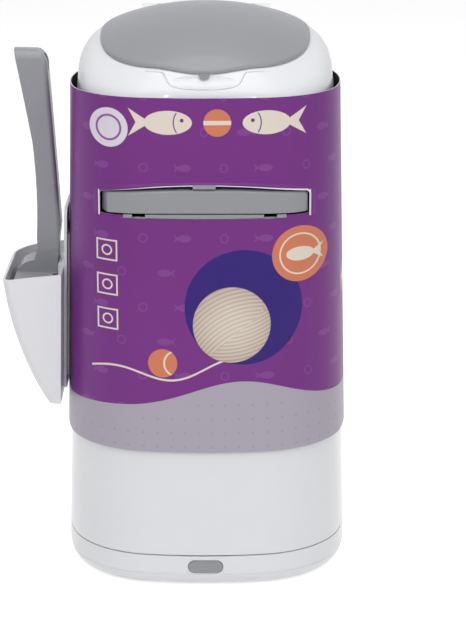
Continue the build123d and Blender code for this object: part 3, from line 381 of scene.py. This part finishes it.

    # cut edges of the board in card colour, and its inner side painted near-black as painted shade, where that
    # side stands in shadow
    color = graph.mix(abs(nz).above(0.75, 0.1), color, art["card"])
    color = graph.mix((nx * x + ny * y).below(-0.02, 0.01), color, art["inside"])
    fibre = graph.noise(700.0, 3.0)
    ripple = graph.noise(22.0, 2.0)
    return graph.finish(Base_Color=color, Roughness=0.36 + fibre * 0.06, Specular_IOR_Level=0.22,
                        Normal=graph.bump(ripple, 0.0006, 0.12, graph.bump(fibre, 0.00002, 0.3)))


print("sleeve print ready")

finishes = {
    "white_plastic": mouldedPlastic("whiteShell", srgb(236, 237, 240), 0.34, coat=0.4),
    "gray_plastic": mouldedPlastic("grayShell", srgb(150, 151, 156), 0.4, coat=0.3, grainStrength=0.3),
    "dark_plastic": mouldedPlastic("darkFrame", srgb(48, 48, 52), 0.5, grainStrength=0.4),
    "printed_board": sleeveLook(),
    "steel": steelLook(),
    "soft_rubber": rubberLook(),
    "foam": foamLook(),
    "film": filmLook(),
}

slotOf = {part["node"]: part["material_slot"] for part in frame["record"]["subparts"]}
for name, node in nodes.items():
    for place in node.material_slots:
        place.material = finishes[slotOf[name]]

print("finishes on the nodes")


def castTree(name):
    # a node's faces, for measuring it with rays
    mesh = nodes[name].data
    return BVHTree.FromPolygons([v.co for v in mesh.vertices], [p.vertices for p in mesh.polygons])


def smoothed(values, times):
    for _ in range(times):
        inner = [(a + 2 * b + c) / 4 for a, b, c in zip(values, values[1:], values[2:])]
        values = [values[0]] + inner + [values[-1]]
    return values


def quarter(steps):
    # how far a rounded edge falls back along its two faces, over a quarter turn
    turns = [math.pi / 2 * k / steps for k in range(steps + 1)]
    return [(1 - math.sin(turn), 1 - math.cos(turn)) for turn in turns]


def addPiece(name, lofts, body, slotName, replaced=(), capped=True):
    # each loft is a list of closed rows of points, and caps close its first and last row
    points, faces = [], []
    for rows in lofts:
        start, width = len(points), len(rows[0])
        points += [point for row in rows for point in row]
        for r in range(len(rows) - 1):
            for i in range(width):
                a, b = start + r * width + i, start + r * width + (i + 1) % width
                faces.append((a, b, b + width, a + width))
        if capped:
            last = start + (len(rows) - 1) * width
            faces.append(tuple(range(start + width - 1, start - 1, -1)))
            faces.append(tuple(range(last, last + width)))
    mesh = bpy.data.meshes.new(name)
    mesh.from_pydata(points, [], faces)
    shaped = bmesh.new()
    shaped.from_mesh(mesh)
    bmesh.ops.remove_doubles(shaped, verts=shaped.verts, dist=0.000001)
    bmesh.ops.recalc_face_normals(shaped, faces=shaped.faces)
    shaped.to_mesh(mesh)
    shaped.free()
    mesh.polygons.foreach_set("use_smooth", [True] * len(mesh.polygons))
    mesh.set_sharp_from_angle(angle=math.radians(38))
    mesh.materials.append(finishes[slotName])
    made = bpy.data.objects.new(name, mesh)
    bpy.context.collection.objects.link(made)
    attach(made, body)
    if replaced:
        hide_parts(*replaced)
    return made


screwLook = {"headRadius": 0.003, "headHeight": 0.0018, "shankRadius": 0.0015, "shankLength": 0.009,
             "thread": 0.00022, "pitch": 0.0009, "recessWidth": 0.00055, "recessReach": 0.0019,
             "recessDepth": 0.0011, "recessSide": 0.00012, "recessEnd": 0.0005, "domeFoot": 0.62,
             "domeRise": 0.38, "domeReach": 0.94, "domeRings": 24, "shankRings": 66, "tip": 0.88, "around": 72}


def screwRows(place, up):
    # cross-recess screw from the middle of its head, over the rim and down the threaded shank
    around = screwLook["around"]
    headR, headH, shankR = screwLook["headRadius"], screwLook["headHeight"], screwLook["shankRadius"]

    def ring(radius, height, threaded=False, recessed=False):
        row = []
        for i in range(around):
            turn = math.tau * i / around
            r, h = radius, height
            if threaded:
                phase = (height / screwLook["pitch"] - i / around) % 1.0
                r -= screwLook["thread"] * abs(2.0 * phase - 1.0) * 2.0
            u, v = r * math.cos(turn), r * math.sin(turn)
            if recessed:
                narrow, wide = min(abs(u), abs(v)), max(abs(u), abs(v))
                side = min(1.0, max(0.0, (screwLook["recessWidth"] - narrow) / screwLook["recessSide"]))
                end = min(1.0, max(0.0, (screwLook["recessReach"] - wide) / screwLook["recessEnd"]))
                h -= screwLook["recessDepth"] * side * end
            row.append(Vector((place[0] + u, place[1] + v * up, place[2] + h * up)))
        return row

    rows = []
    reach = screwLook["domeReach"]
    for k in range(screwLook["domeRings"] + 1):
        share = k / screwLook["domeRings"]
        curve = math.sqrt(max(0.0, 1.0 - (reach * share) ** 2))
        dome = headH * (screwLook["domeFoot"] + screwLook["domeRise"] * curve)
        rows.append(ring(max(1e-5, reach * headR * share), dome, recessed=True))
    rows += [ring(0.985 * headR, 0.6 * headH), ring(headR, 0.42 * headH)]
    rows += [ring(headR, 0.00002), ring(shankR, 0.0)]
    steps = screwLook["shankRings"]
    for k in range(1, steps + 1):
        depth = screwLook["shankLength"] * k / steps
        taper = 1.0 - max(0.0, depth / screwLook["shankLength"] - screwLook["tip"]) * 4.0
        rows.append(ring(shankR * taper, -depth, threaded=True))
    return rows


for name, body in (("deck_screws", "shell"), ("seat_screws", "shell")):
    low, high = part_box(name)
    rim, face = screwLook["headRadius"], high[2] - screwLook["headHeight"]
    corners = [(x, y, face) for x in (low[0] + rim, high[0] - rim) for y in (low[1] + rim, high[1] - rim)]
    addPiece(name + "_cross", [screwRows(corner, 1.0) for corner in corners], body, "steel", (name,))
low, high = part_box("handle_screws")
rim, face = screwLook["headRadius"], low[2] + screwLook["headHeight"]
ends = [(x, (low[1] + high[1]) / 2, face) for x in (low[0] + rim, high[0] - rim)]
addPiece("handle_screws_cross", [screwRows(end, -1.0) for end in ends], "clamp", "steel", ("handle_screws",))
print("screws made")

# "lip" is the film's way over the inner wall: outwards from the wall, and up from the wall's top
filmShape = {"around": 720, "pleats": 96, "depth": 0.0013, "drift": 0.9, "down": 60, "thick": 0.00015,
             "lip": [(0.0078, -0.0044), (0.0072, -0.0012), (0.0058, 0.0005), (0.0040, 0.0009),
                     (0.0022, 0.0006), (0.0009, -0.0006), (0.0003, -0.0026)]}
bagLow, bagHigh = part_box("bag_film")
throatMiddle = (bagLow[1] + bagHigh[1]) / 2


def plumbReach(tree, turn, height, start=0.0):
    # distance from the throat's middle to the first face met on the way out at that height
    way = Vector((math.cos(turn), math.sin(turn), 0.0))
    hit = tree.ray_cast(Vector((0.0, throatMiddle, height)) + way * start, way)
    return (hit[3] or 0.0) + start


def spoke(turn, reach, height):
    return Vector((reach * math.cos(turn), throatMiddle + reach * math.sin(turn), height))


def throatFilm():
    # film from the pack, over the inner wall and down the throat, gathered into uneven upright pleats
    tree = castTree("bag_film")
    rng = random.Random(7)
    phases = [rng.uniform(0.0, math.tau) for _ in range(6)]
    lip = bagHigh[2]
    profile = [(out, lip + rise) for out, rise in filmShape["lip"]]
    overLip = len(profile) - 1
    bottom = bagLow[2]
    top = profile[-1][1]
    for k in range(1, filmShape["down"] + 1):
        share = k / filmShape["down"]
        profile.append((0.0003 - 0.0006 * min(1.0, share * 6.0), top + (bottom - top) * share))
    turns = [math.tau * i / filmShape["around"] for i in range(filmShape["around"])]
    base = [plumbReach(tree, turn, (lip + bottom) / 2) for turn in turns]
    rows = []
    for k, (out, height) in enumerate(profile):
        fall = max(0.0, k - overLip) / filmShape["down"]
        deep = filmShape["depth"] * (0.25 + 0.75 * min(1.0, fall * 5.0))
        row = []
        for i, turn in enumerate(turns):
            drift = filmShape["drift"] * (math.sin(3.0 * turn + phases[0] + 2.0 * fall)
                                          + 0.6 * math.sin(7.0 * turn + phases[1] - 3.0 * fall))
            pleat = 0.5 + 0.5 * math.sin(filmShape["pleats"] * turn + drift * 2.0 + phases[2])
            swell = 0.55 + 0.45 * math.sin(11.0 * turn + phases[3] + 1.5 * fall)
            reach = base[i] + out - deep * pleat * (0.4 + swell) - 0.0002
            sag = 0.0004 * math.sin(filmShape["pleats"] * turn * 0.5 + phases[4]) if k < overLip else 0.0
            row.append(spoke(turn, reach, height + sag))
        rows.append(row)
    return rows


rows = throatFilm()
film = addPiece("bag_film_pleated", [rows], "shell", "film", ("bag_film",), capped=False)
thick = film.modifiers.new("thickness", "SOLIDIFY")
thick.thickness = filmShape["thick"]
thick.offset = 1.0

packShape = {"around": 540, "folds": 15, "perFold": 6, "depth": 0.0009, "ripple": 0.0005, "foot": 0.0006}


def foldedPack():
    # the rest of the film, pushed together in the tub like a concertina
    tree = castTree("film_pack")
    packLow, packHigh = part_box("film_pack")
    middle = (packLow[2] + packHigh[2]) / 2
    turns = [math.tau * i / packShape["around"] for i in range(packShape["around"])]
    inner = [plumbReach(tree, turn, middle) for turn in turns]
    outer = [plumbReach(tree, turn, middle, inner[i] + 0.001) for i, turn in enumerate(turns)]
    perFold, foot = packShape["perFold"], packShape["foot"]
    tall = packHigh[2] - packLow[2] - 2 * foot
    steps = packShape["folds"] * perFold
    rng = random.Random(11)
    lean = [rng.uniform(0.0, math.tau) for _ in range(steps + 1)]

    def row(edge, side, k):
        height = packLow[2] + foot + tall * k / steps
        fold = 0.5 - 0.5 * math.cos(math.tau * k / perFold)
        points = []
        for i, turn in enumerate(turns):
            phase = lean[k // perFold * perFold]
            ripple = packShape["ripple"] * math.sin(37.0 * turn + phase) * (0.5 + 0.5 * fold)
            reach = edge[i] + side * (0.0003 + packShape["depth"] * (1.0 - fold) + 0.5 * abs(ripple))
            points.append(spoke(turn, reach, height + 0.5 * ripple))
        return points

    rows = [row(inner, 1.0, k) for k in range(steps + 1)]
    for share in (0.25, 0.5, 0.75):
        points = []
        for i, turn in enumerate(turns):
            reach = inner[i] + (outer[i] - inner[i]) * share
            bob = 0.0005 * math.sin(61.0 * turn + 5.0 * share) - foot
            points.append(spoke(turn, reach, packHigh[2] + bob))
        rows.append(points)
    rows += [row(outer, -1.0, k) for k in range(steps, -1, -1)]
    rows.append(rows[0])
    return rows


addPiece("film_pack_folded", [foldedPack()], "shell", "film", ("film_pack",), capped=False)
print("film pack made")


# "ends" is where a strip's sections stand along it, and how far each keeps its full depth
stripShape = {"soft": 0.0008, "rim": 0.0002, "perRib": 8,
              "ends": [(0.0, 0.9), (0.002, 0.97), (0.006, 1.0), (0.5, 1.0),
                       (0.994, 1.0), (0.998, 0.97), (1.0, 0.9)]}


def ribbedStrip(name, face, ribs, replaced):
    # rubber pad with rounded ribs along its face; face is +1 where the pad presses towards +Y
    low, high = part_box(replaced)
    back, front = (low[1], high[1]) if face > 0 else (high[1], low[1])
    soft, rim, perRib = stripShape["soft"], stripShape["rim"], stripShape["perRib"]
    loop = [(back, low[2] + rim), (back, high[2] - rim)]
    steps = ribs * perRib
    tall = high[2] - low[2] - 2 * rim
    for k in range(steps + 1):
        rise = 0.5 + 0.5 * math.cos(math.tau * k / perRib + math.pi)
        loop.append((front - face * soft * (1.0 - rise), high[2] - rim - tall * k / steps))
    rows = []
    span = high[0] - low[0]
    middle = ((back + front) / 2, (low[2] + high[2]) / 2)
    for share, keep in stripShape["ends"]:
        rows.append([Vector((low[0] + span * share, middle[0] + (y - middle[0]) * keep,
                             middle[1] + (z - middle[1]) * (1.0 - 0.1 * (1.0 - keep)))) for y, z in loop])
    addPiece(name, [rows], "clamp" if face > 0 else "shell", "soft_rubber", (replaced,))


ribbedStrip("moving_jaw_seal_ribbed", 1.0, 6, "moving_jaw_seal")
ribbedStrip("fixed_jaw_seal_ribbed", -1.0, 6, "fixed_jaw_seal")
print("jaw seals made")


padShape = {"across": 26, "up": 60, "sideGap": 0.0002, "endGap": 0.0004, "rim": 0.25, "face": 0.03}


def foamPad():
    # thin foam between bracket and sleeve: flat on the bracket, hollow to the sleeve, rounded at its rim
    tree = castTree("holder_pad")
    low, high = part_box("holder_pad")
    across, up = padShape["across"], padShape["up"]
    sideGap, endGap = padShape["sideGap"], padShape["endGap"]
    fronts, backs = [], []
    for j in range(up + 1):
        z = low[2] + endGap + (high[2] - low[2] - 2 * endGap) * j / up
        front, back = [], []
        for i in range(across + 1):
            y = low[1] + sideGap + (high[1] - low[1] - 2 * sideGap) * i / across
            near = tree.ray_cast(Vector((low[0] - 0.01, y, z)), Vector((1, 0, 0)))[0]
            far = tree.ray_cast(Vector((high[0] + 0.01, y, z)), Vector((-1, 0, 0)))[0]
            if near is None or far is None:
                near, far = front[-1], back[-1]
            pinch = padShape["rim"] if i in (0, across) or j in (0, up) else padShape["face"]
            middle = (near.x + far.x) / 2
            front.append(Vector((near.x + (middle - near.x) * pinch, y, z)))
            back.append(Vector((far.x + (middle - far.x) * pinch, y, z)))
        fronts.append(front)
        backs.append(back)
    return [front + back[::-1] for front, back in zip(fronts, backs)]


pad = addPiece("holder_pad_foam", [foamPad()], "shell", "foam", ("holder_pad",))
print("foam pad made")


# the sleeve's front, whose place, lean and curve are read from the node itself
sleeveTree = castTree("display_sleeve")
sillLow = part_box("handle_sill")[0]


def sleeveHit(x, z, fromFront=True):
    side = -1.0 if fromFront else 1.0
    return sleeveTree.ray_cast(Vector((x, 0.4 * side, z)), Vector((0, -side, 0)))[0].y


belowWindow = sillLow[2] - 0.004
frontY = sleeveHit(0.0, belowWindow)
frontLean = (frontY - sleeveHit(0.0, belowWindow - 0.04)) / 0.04
frontStep, frontSteps = 0.0025, 38
frontSag = [sleeveHit(frontStep * k, belowWindow) - frontY for k in range(-frontSteps, frontSteps + 1)]
frontSag = smoothed(frontSag, 2)


def sleeveFront(x, z, proud=0.0):
    place = min(2 * frontSteps - 0.001, max(0.0, x / frontStep + frontSteps))
    k = int(place)
    sag = frontSag[k] + (frontSag[k + 1] - frontSag[k]) * (place - k)
    return frontY + frontLean * (z - belowWindow) + sag - proud


# handle and window share one bow: their edges drop towards the ends
handleShape = {"half": 0.0870, "bottom": 0.3365, "top": 0.3566, "topDrop": 0.0050, "bottomDrop": 0.0022,
               "proud": 0.0008, "deep": 0.0118, "brow": 0.0030, "foot": 0.0008, "leftEnd": (0.0054, 0.0082),
               "rightEnd": (0.0108, 0.0019), "cornerRound": 0.0012, "cornerAlong": 0.0024, "stations": 60}
sillShape = {"parts": [(-0.0685, -0.0608), (-0.0497, 0.0500), (0.0610, 0.0690)], "gap": 0.0009,
             "proud": 0.0005, "deep": 0.0058, "round": 0.0006, "pitch": 0.004, "endStep": 0.0004,
             "tall": 0.0030}
windowShape = {"half": 0.0885, "top": 0.3600, "drop": 0.0078, "corner": 0.0034, "trimProud": 0.00120,
               "lapProud": 0.00112, "outer": 0.0052, "rise": 0.0022, "clipShare": 0.06, "clipDrop": 0.0005,
               "foot": 0.0010, "stations": 48}


def bow(x, middle, drop):
    return middle - drop * (x / handleShape["half"]) ** 2


def barRows():
    # each end slopes back over its own length and to its own depth
    (left, leftDeep), (right, rightDeep) = handleShape["leftEnd"], handleShape["rightEnd"]
    half, count = handleShape["half"], handleShape["stations"]
    stations = [-half + left * k / 6 for k in range(6)]
    stations += [-half + left + (2 * half - left - right) * k / count for k in range(count + 1)]
    stations += [half - right + right * k / 8 for k in range(1, 9)]
    rows = []
    for x in stations:
        along, endDeep = (left, leftDeep) if x < 0 else (right, rightDeep)
        reach = max(0.0, abs(x) - (half - along)) / along
        back = endDeep * reach
        tip = handleShape["cornerRound"] * max(0.0, (abs(x) - half) / handleShape["cornerAlong"] + 1.0) ** 2.0
        low = bow(x, handleShape["bottom"], handleShape["bottomDrop"]) + 0.3 * tip
        high = bow(x, handleShape["top"], handleShape["topDrop"]) - tip
        face = sleeveFront(x, (low + high) / 2, handleShape["proud"]) + back
        deep = handleShape["deep"] - back
        brow, foot = handleShape["brow"], handleShape["foot"]
        loop = [(deep, low), (deep, high)]
        loop += [(brow * out, high - 0.8 * brow * down) for out, down in quarter(8)]
        loop += [(foot * out, low + foot * down) for down, out in quarter(4)]
        rows.append([Vector((x, face + y, z)) for y, z in loop])
    return rows


addPiece("handle_bar_bowed", [barRows()], "clamp", "gray_plastic", ("handle_bar",))


def sillRows(start, end):
    rim, endStep = sillShape["round"], sillShape["endStep"]
    count = max(3, int((end - start) / sillShape["pitch"]))
    stations = [(start, 0.7), (start + endStep, 1.0)]
    stations += [(start + (end - start) * k / count, 1.0) for k in range(1, count)]
    stations += [(end - endStep, 1.0), (end, 0.7)]
    rows = []
    for x, keep in stations:
        inset = 0.0006 * (1.0 - keep)
        high = bow(x, handleShape["bottom"], handleShape["bottomDrop"]) - sillShape["gap"]
        low = min(sillLow[2] + 0.0001, high - sillShape["tall"])
        face = sleeveFront(x, (low + high) / 2, sillShape["proud"]) + inset
        loop = [(sillShape["deep"], low + inset), (sillShape["deep"], high - inset)]
        loop += [(rim * out, high - inset - rim * down) for out, down in quarter(4)]
        loop += [(rim * out, low + inset + rim * down) for down, out in quarter(4)]
        rows.append([Vector((x, face + y, z)) for y, z in loop])
    return rows


sills = [sillRows(*part) for part in sillShape["parts"]]
addPiece("window_sill", sills, "shell", "gray_plastic", ("handle_sill",))


def windowOutline():
    # stations round the window from its lower left to its lower right, each a place, an outward way and
    # a share, which runs from 0 at the left to 1 at the right
    half, corner, drop = windowShape["half"], windowShape["corner"], windowShape["drop"]
    foot = sillLow[2] - windowShape["foot"]
    shoulder = windowShape["top"] - drop * ((half - corner) / half) ** 2
    rise = shoulder - corner - foot

    def bend(middle, turn, share):
        wayX, wayZ = math.cos(turn), math.sin(turn)
        return (middle + corner * wayX, shoulder - corner + corner * wayZ), (wayX, wayZ), share

    stations = [((-half, foot + rise * k / 6), (-1.0, 0.0), 0.0) for k in range(7)]
    stations += [bend(-half + corner, math.pi - math.pi / 2 * k / 6, 0.0) for k in range(1, 7)]
    count = windowShape["stations"]
    for k in range(1, count):
        x = (half - corner) * (2 * k / count - 1)
        lean = 2 * drop * x / half ** 2
        size = math.hypot(lean, 1.0)
        place = (x, windowShape["top"] - drop * (x / half) ** 2)
        stations.append((place, (lean / size, 1 / size), k / count))
    stations += [bend(half - corner, math.pi / 2 - math.pi / 2 * k / 6, 1.0) for k in range(7)]
    stations += [((half, shoulder - corner - rise * k / 6), (1.0, 0.0), 1.0) for k in range(1, 7)]
    return stations


def ringRows(section):
    rows = []
    for (x, z), (wayX, wayZ), share in windowOutline():
        row = []
        for out, proud in section(share):
            px, pz = x + wayX * out, z + wayZ * out
            row.append(Vector((px, sleeveFront(px, pz, proud), pz)))
        rows.append(row)
    return rows


def trimWidth(share):
    return 0.00005 + 0.0008 * min(1.0, share * 4.0) + 0.0007 * max(0.0, share * 4.0 - 3.0)


def trimSection(share):
    # the trim is lower at the middle of the window's top, under the clip
    underClip = abs(share - 0.5) < windowShape["clipShare"]
    wide, proud = trimWidth(share), windowShape["trimProud"] - (windowShape["clipDrop"] if underClip else 0.0)
    return [(0.0, -0.0008), (0.0, proud - 0.0002), (0.0002, proud), (wide, proud), (wide, -0.0008)]


def lapSection(share):
    wide, proud = trimWidth(share), windowShape["lapProud"]
    outer = windowShape["outer"] - windowShape["rise"] * share * (1.0 - share) * 4.0
    return [(wide - 0.0001, 0.0), (wide - 0.0001, proud - 0.0001), (wide + 0.0001, proud),
            (outer - 0.0014, proud), (outer, 0.0), (outer - 0.0002, -0.0003)]


addPiece("window_trim", [ringRows(trimSection)], "shell", "white_plastic")
addPiece("window_lap", [ringRows(lapSection)], "shell", "printed_board")

# the board laps the window's lower corners
lapShape = {"thick": 0.0007, "proud": 0.00022, "corner": 0.0885, "inner": 0.0697, "gap": 0.0013,
            "below": 0.0022}


def lapRows(start, end):
    low = sillLow[2] - lapShape["below"]
    rows = []
    for k in range(9):
        x = start + (end - start) * k / 8
        high = bow(x, handleShape["bottom"], handleShape["bottomDrop"]) - lapShape["gap"]
        rows.append([Vector((x, sleeveFront(x, z, lapShape["proud"]) + y, z))
                     for y, z in ((0.0, low), (lapShape["thick"], low), (lapShape["thick"], high - 0.0002),
                                  (0.0001, high), (0.0, high - 0.0002))])
    return rows


laps = [lapRows(-lapShape["corner"], -lapShape["inner"]), lapRows(lapShape["inner"], lapShape["corner"])]
addPiece("sleeve_laps", laps, "shell", "printed_board")

# the lid follows the barrel crown; its outline is deeper in front, with a lip over the finger recess
lidShape = {"crownY": 0.0405, "crownZ": 0.2943, "deep": 0.1968, "wide": 0.2368, "gap": 0.0006, "top": 0.00315,
            "half": 0.0912, "middle": 0.010, "front": 0.0850, "back": 0.0636, "frontPower": 2.53,
            "backPower": 2.4, "lip": 0.0063, "lipHalf": 0.044, "edge": 0.0015, "foot": 0.0004, "around": 240,
            "rings": 26, "eye": 0.004, "flat": 0.96, "armsFrom": 0.0668}


def crownHeight(x, y, grow):
    across = math.sqrt((lidShape["wide"] + grow) ** 2 - x ** 2) - (lidShape["wide"] - lidShape["deep"])
    return lidShape["crownZ"] + math.sqrt(across ** 2 - (y - lidShape["crownY"]) ** 2)


def lidOutline(turn):
    side, up = math.cos(turn), math.sin(turn)
    part = "back" if up > 0 else "front"
    deep, power = lidShape[part], lidShape[part + "Power"]
    x = lidShape["half"] * math.copysign(abs(side) ** (2.0 / power), side)
    y = deep * math.copysign(abs(up) ** (2.0 / power), up)
    if up < 0 and abs(x) < lidShape["lipHalf"]:
        y -= lidShape["lip"] * (0.5 + 0.5 * math.cos(math.pi * x / lidShape["lipHalf"])) ** 0.85
    return x, y


def lidRows():
    # from the middle of the upper face out to the rim, round it, and back to the middle underneath
    top, gap, rings = lidShape["top"], lidShape["gap"], lidShape["rings"]
    edge, foot, eye, flat = lidShape["edge"], lidShape["foot"], lidShape["eye"], lidShape["flat"]
    turns = [math.tau * (k + 0.5) / lidShape["around"] for k in range(lidShape["around"])]
    outline = [lidOutline(turn) for turn in turns]

    def point(x, y, share, grow):
        px, py = x * share, y * share + lidShape["middle"]
        return Vector((px, py, crownHeight(px, py, grow)))

    def inset(inward, grow):
        return [point(x, y, 1.0 - inward / math.hypot(x, y), grow) for x, y in outline]

    def shrink(share, grow):
        return [point(x, y, share, grow) for x, y in outline]

    rows = [shrink(eye + (flat - eye) * k / rings, top) for k in range(rings + 1)]
    rows += [inset(edge * out, top - edge * down) for out, down in quarter(6)]
    rows += [inset(0.0, gap + foot), inset(foot, gap)]
    rows += [shrink(flat - (flat - eye) * k / rings, gap) for k in range(rings + 1)]
    return rows


addPiece("lid_cap", [lidRows()], "lid", "gray_plastic", ("lid_shell",))

# the lid's hinge arms: a copy of the node's mesh, cut off in front of them and closed
arms = bmesh.new()
arms.from_mesh(nodes["lid_shell"].data)
bmesh.ops.bisect_plane(arms, geom=arms.verts[:] + arms.edges[:] + arms.faces[:],
                       plane_co=(0, lidShape["armsFrom"], 0), plane_no=(0, 1, 0), clear_inner=True)
bmesh.ops.holes_fill(arms, edges=[e for e in arms.edges if e.is_boundary])
armMesh = bpy.data.meshes.new("lid_arms")
arms.to_mesh(armMesh)
arms.free()
armMesh.materials.clear()
armMesh.materials.append(finishes["gray_plastic"])
armPiece = bpy.data.objects.new("lid_arms", armMesh)
bpy.context.collection.objects.link(armPiece)
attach(armPiece, "lid")

recessShape = {"y": -0.0920, "z": 0.4510, "half": 0.052, "radius": 0.012, "reach": 0.0500, "bead": 0.00055,
               "stations": 72, "around": 12}


def recessBead():
    # a thin bead along the lower edge of the finger recess, where it meets the dome
    tree = castTree("top_dome")
    rows, line = [], []
    count, around = recessShape["stations"], recessShape["around"]
    for k in range(count + 1):
        x = recessShape["reach"] * (2 * k / count - 1)
        radius = recessShape["radius"] * math.sqrt(1 - (x / recessShape["half"]) ** 2)
        z = recessShape["z"] - radius
        for _ in range(4):
            y = tree.ray_cast(Vector((x, -0.4, z - 0.0004)), Vector((0, 1, 0)))[0].y
            z = recessShape["z"] - math.sqrt(max(0.0, radius ** 2 - (y - recessShape["y"]) ** 2))
        line.append(Vector((x, y + 0.0002, z)))
    line = smoothed(line, 3)
    turns = [math.tau * i / around for i in range(around)]
    for k, point in enumerate(line):
        along = (line[min(k + 1, count)] - line[max(k - 1, 0)]).normalized()
        sideways = along.cross(Vector((0, -1, 0))).normalized()
        out = sideways.cross(along).normalized()
        size = recessShape["bead"] * (0.3 if k in (0, count) else 1.0)
        rows.append([point + (sideways * math.cos(turn) + out * math.sin(turn)) * size for turn in turns])
    return rows


addPiece("recess_bead", [recessBead()], "shell", "white_plastic")
print("lid and recess made")


# the board's glued seam down the back: places across it, and how far each stands out
seamShape = {"section": [(0.030, 0.0), (0.0302, 0.00045), (0.037, 0.0005), (0.0438, 0.00045), (0.044, 0.0)],
             "endGap": 0.0008, "stations": 30}


def seamRows():
    low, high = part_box("display_sleeve")
    endGap, count = seamShape["endGap"], seamShape["stations"]
    rows = []
    for k in range(count + 1):
        z = low[2] + endGap + (high[2] - low[2] - 2 * endGap) * k / count
        rows.append([Vector((x, sleeveHit(x, z, False) + proud, z)) for x, proud in seamShape["section"]])
    return rows


addPiece("sleeve_seam", [seamRows()], "shell", "printed_board")
print("sill and board laps made")

studio = {
    "camera": (0.024, -1.791, 0.734), "tilt": 73.8, "lens": 116.41, "sensor": 36.0, "aim": (0.0, 0.0, 0.25),
    "floor": srgb(240, 240, 240), "floorGlow": 0.62, "world": 0.43, "floorSize": 12.0,
    "lamps": [((0.0, -0.5, 3.0), 2.6, 31.0), ((-1.4, -2.2, 1.6), 1.6, 12.0), ((1.9, -1.6, 1.5), 1.6, 10.0)],
    "sparks": [((-0.75, -2.0, 2.3), 0.13, 3.4), ((0.1, -2.2, 2.5), 0.13, 2.6), ((0.9, -2.0, 2.3), 0.13, 3.0)]}


def onlySeen(graph):
    # 1 for the camera, and for what metal, gloss and clear film show
    seen = graph.add("ShaderNodeLightPath", output="Is Camera Ray")
    glossy = graph.add("ShaderNodeLightPath", output="Is Glossy Ray")
    through = graph.add("ShaderNodeLightPath", output="Is Transmission Ray")
    return seen.math("MAXIMUM", glossy).math("MAXIMUM", through)


def studioFloor():
    half = studio["floorSize"]
    mesh = bpy.data.meshes.new("studioFloor")
    corners = [(-half, -half, 0), (half, -half, 0), (half, half, 0), (-half, half, 0)]
    mesh.from_pydata(corners, [], [(0, 1, 2, 3)])
    graph = Graph("studioPaper")
    paper = graph.add("ShaderNodeBsdfDiffuse", values={"Color": studio["floor"]})
    glow = graph.add("ShaderNodeEmission", values={"Strength": onlySeen(graph) * studio["floorGlow"]})
    both = graph.add("ShaderNodeAddShader", values={0: paper, 1: glow})
    graph.add("ShaderNodeOutputMaterial", values={"Surface": both})
    mesh.materials.append(graph.material)
    floor = bpy.data.objects.new("studioFloor", mesh)
    bpy.context.collection.objects.link(floor)
    floor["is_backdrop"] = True


studioFloor()
world = bpy.data.worlds.new("studioWorld")
bpy.context.scene.world = world
world.use_nodes = True
sky = Graph(tree=world.node_tree)
seen = onlySeen(sky)
back = sky.add("ShaderNodeBackground", values={"Strength": seen + (1.0 - seen) * studio["world"]})
sky.add("ShaderNodeOutputWorld", values={"Surface": back})

for index, (place, size, power) in enumerate(studio["lamps"] + studio["sparks"]):
    lamp = bpy.data.lights.new(f"lamp{index}", "AREA")
    lamp.shape, lamp.size, lamp.energy = "DISK", size, power
    holder = bpy.data.objects.new(f"lamp{index}", lamp)
    holder.location = place
    holder.rotation_euler = (Vector(studio["aim"]) - Vector(place)).to_track_quat("-Z", "Y").to_euler()
    bpy.context.collection.objects.link(holder)

cameraData = bpy.data.cameras.new("camera")
cameraData.lens = studio["lens"]
cameraData.sensor_width = studio["sensor"]
camera = bpy.data.objects.new("camera", cameraData)
camera.location = studio["camera"]
camera.rotation_euler = (math.radians(studio["tilt"]), 0.0, 0.0)
bpy.context.collection.objects.link(camera)
bpy.context.scene.camera = camera
bpy.context.scene.view_settings.view_transform = "Standard"
print("studio ready")

low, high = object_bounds()
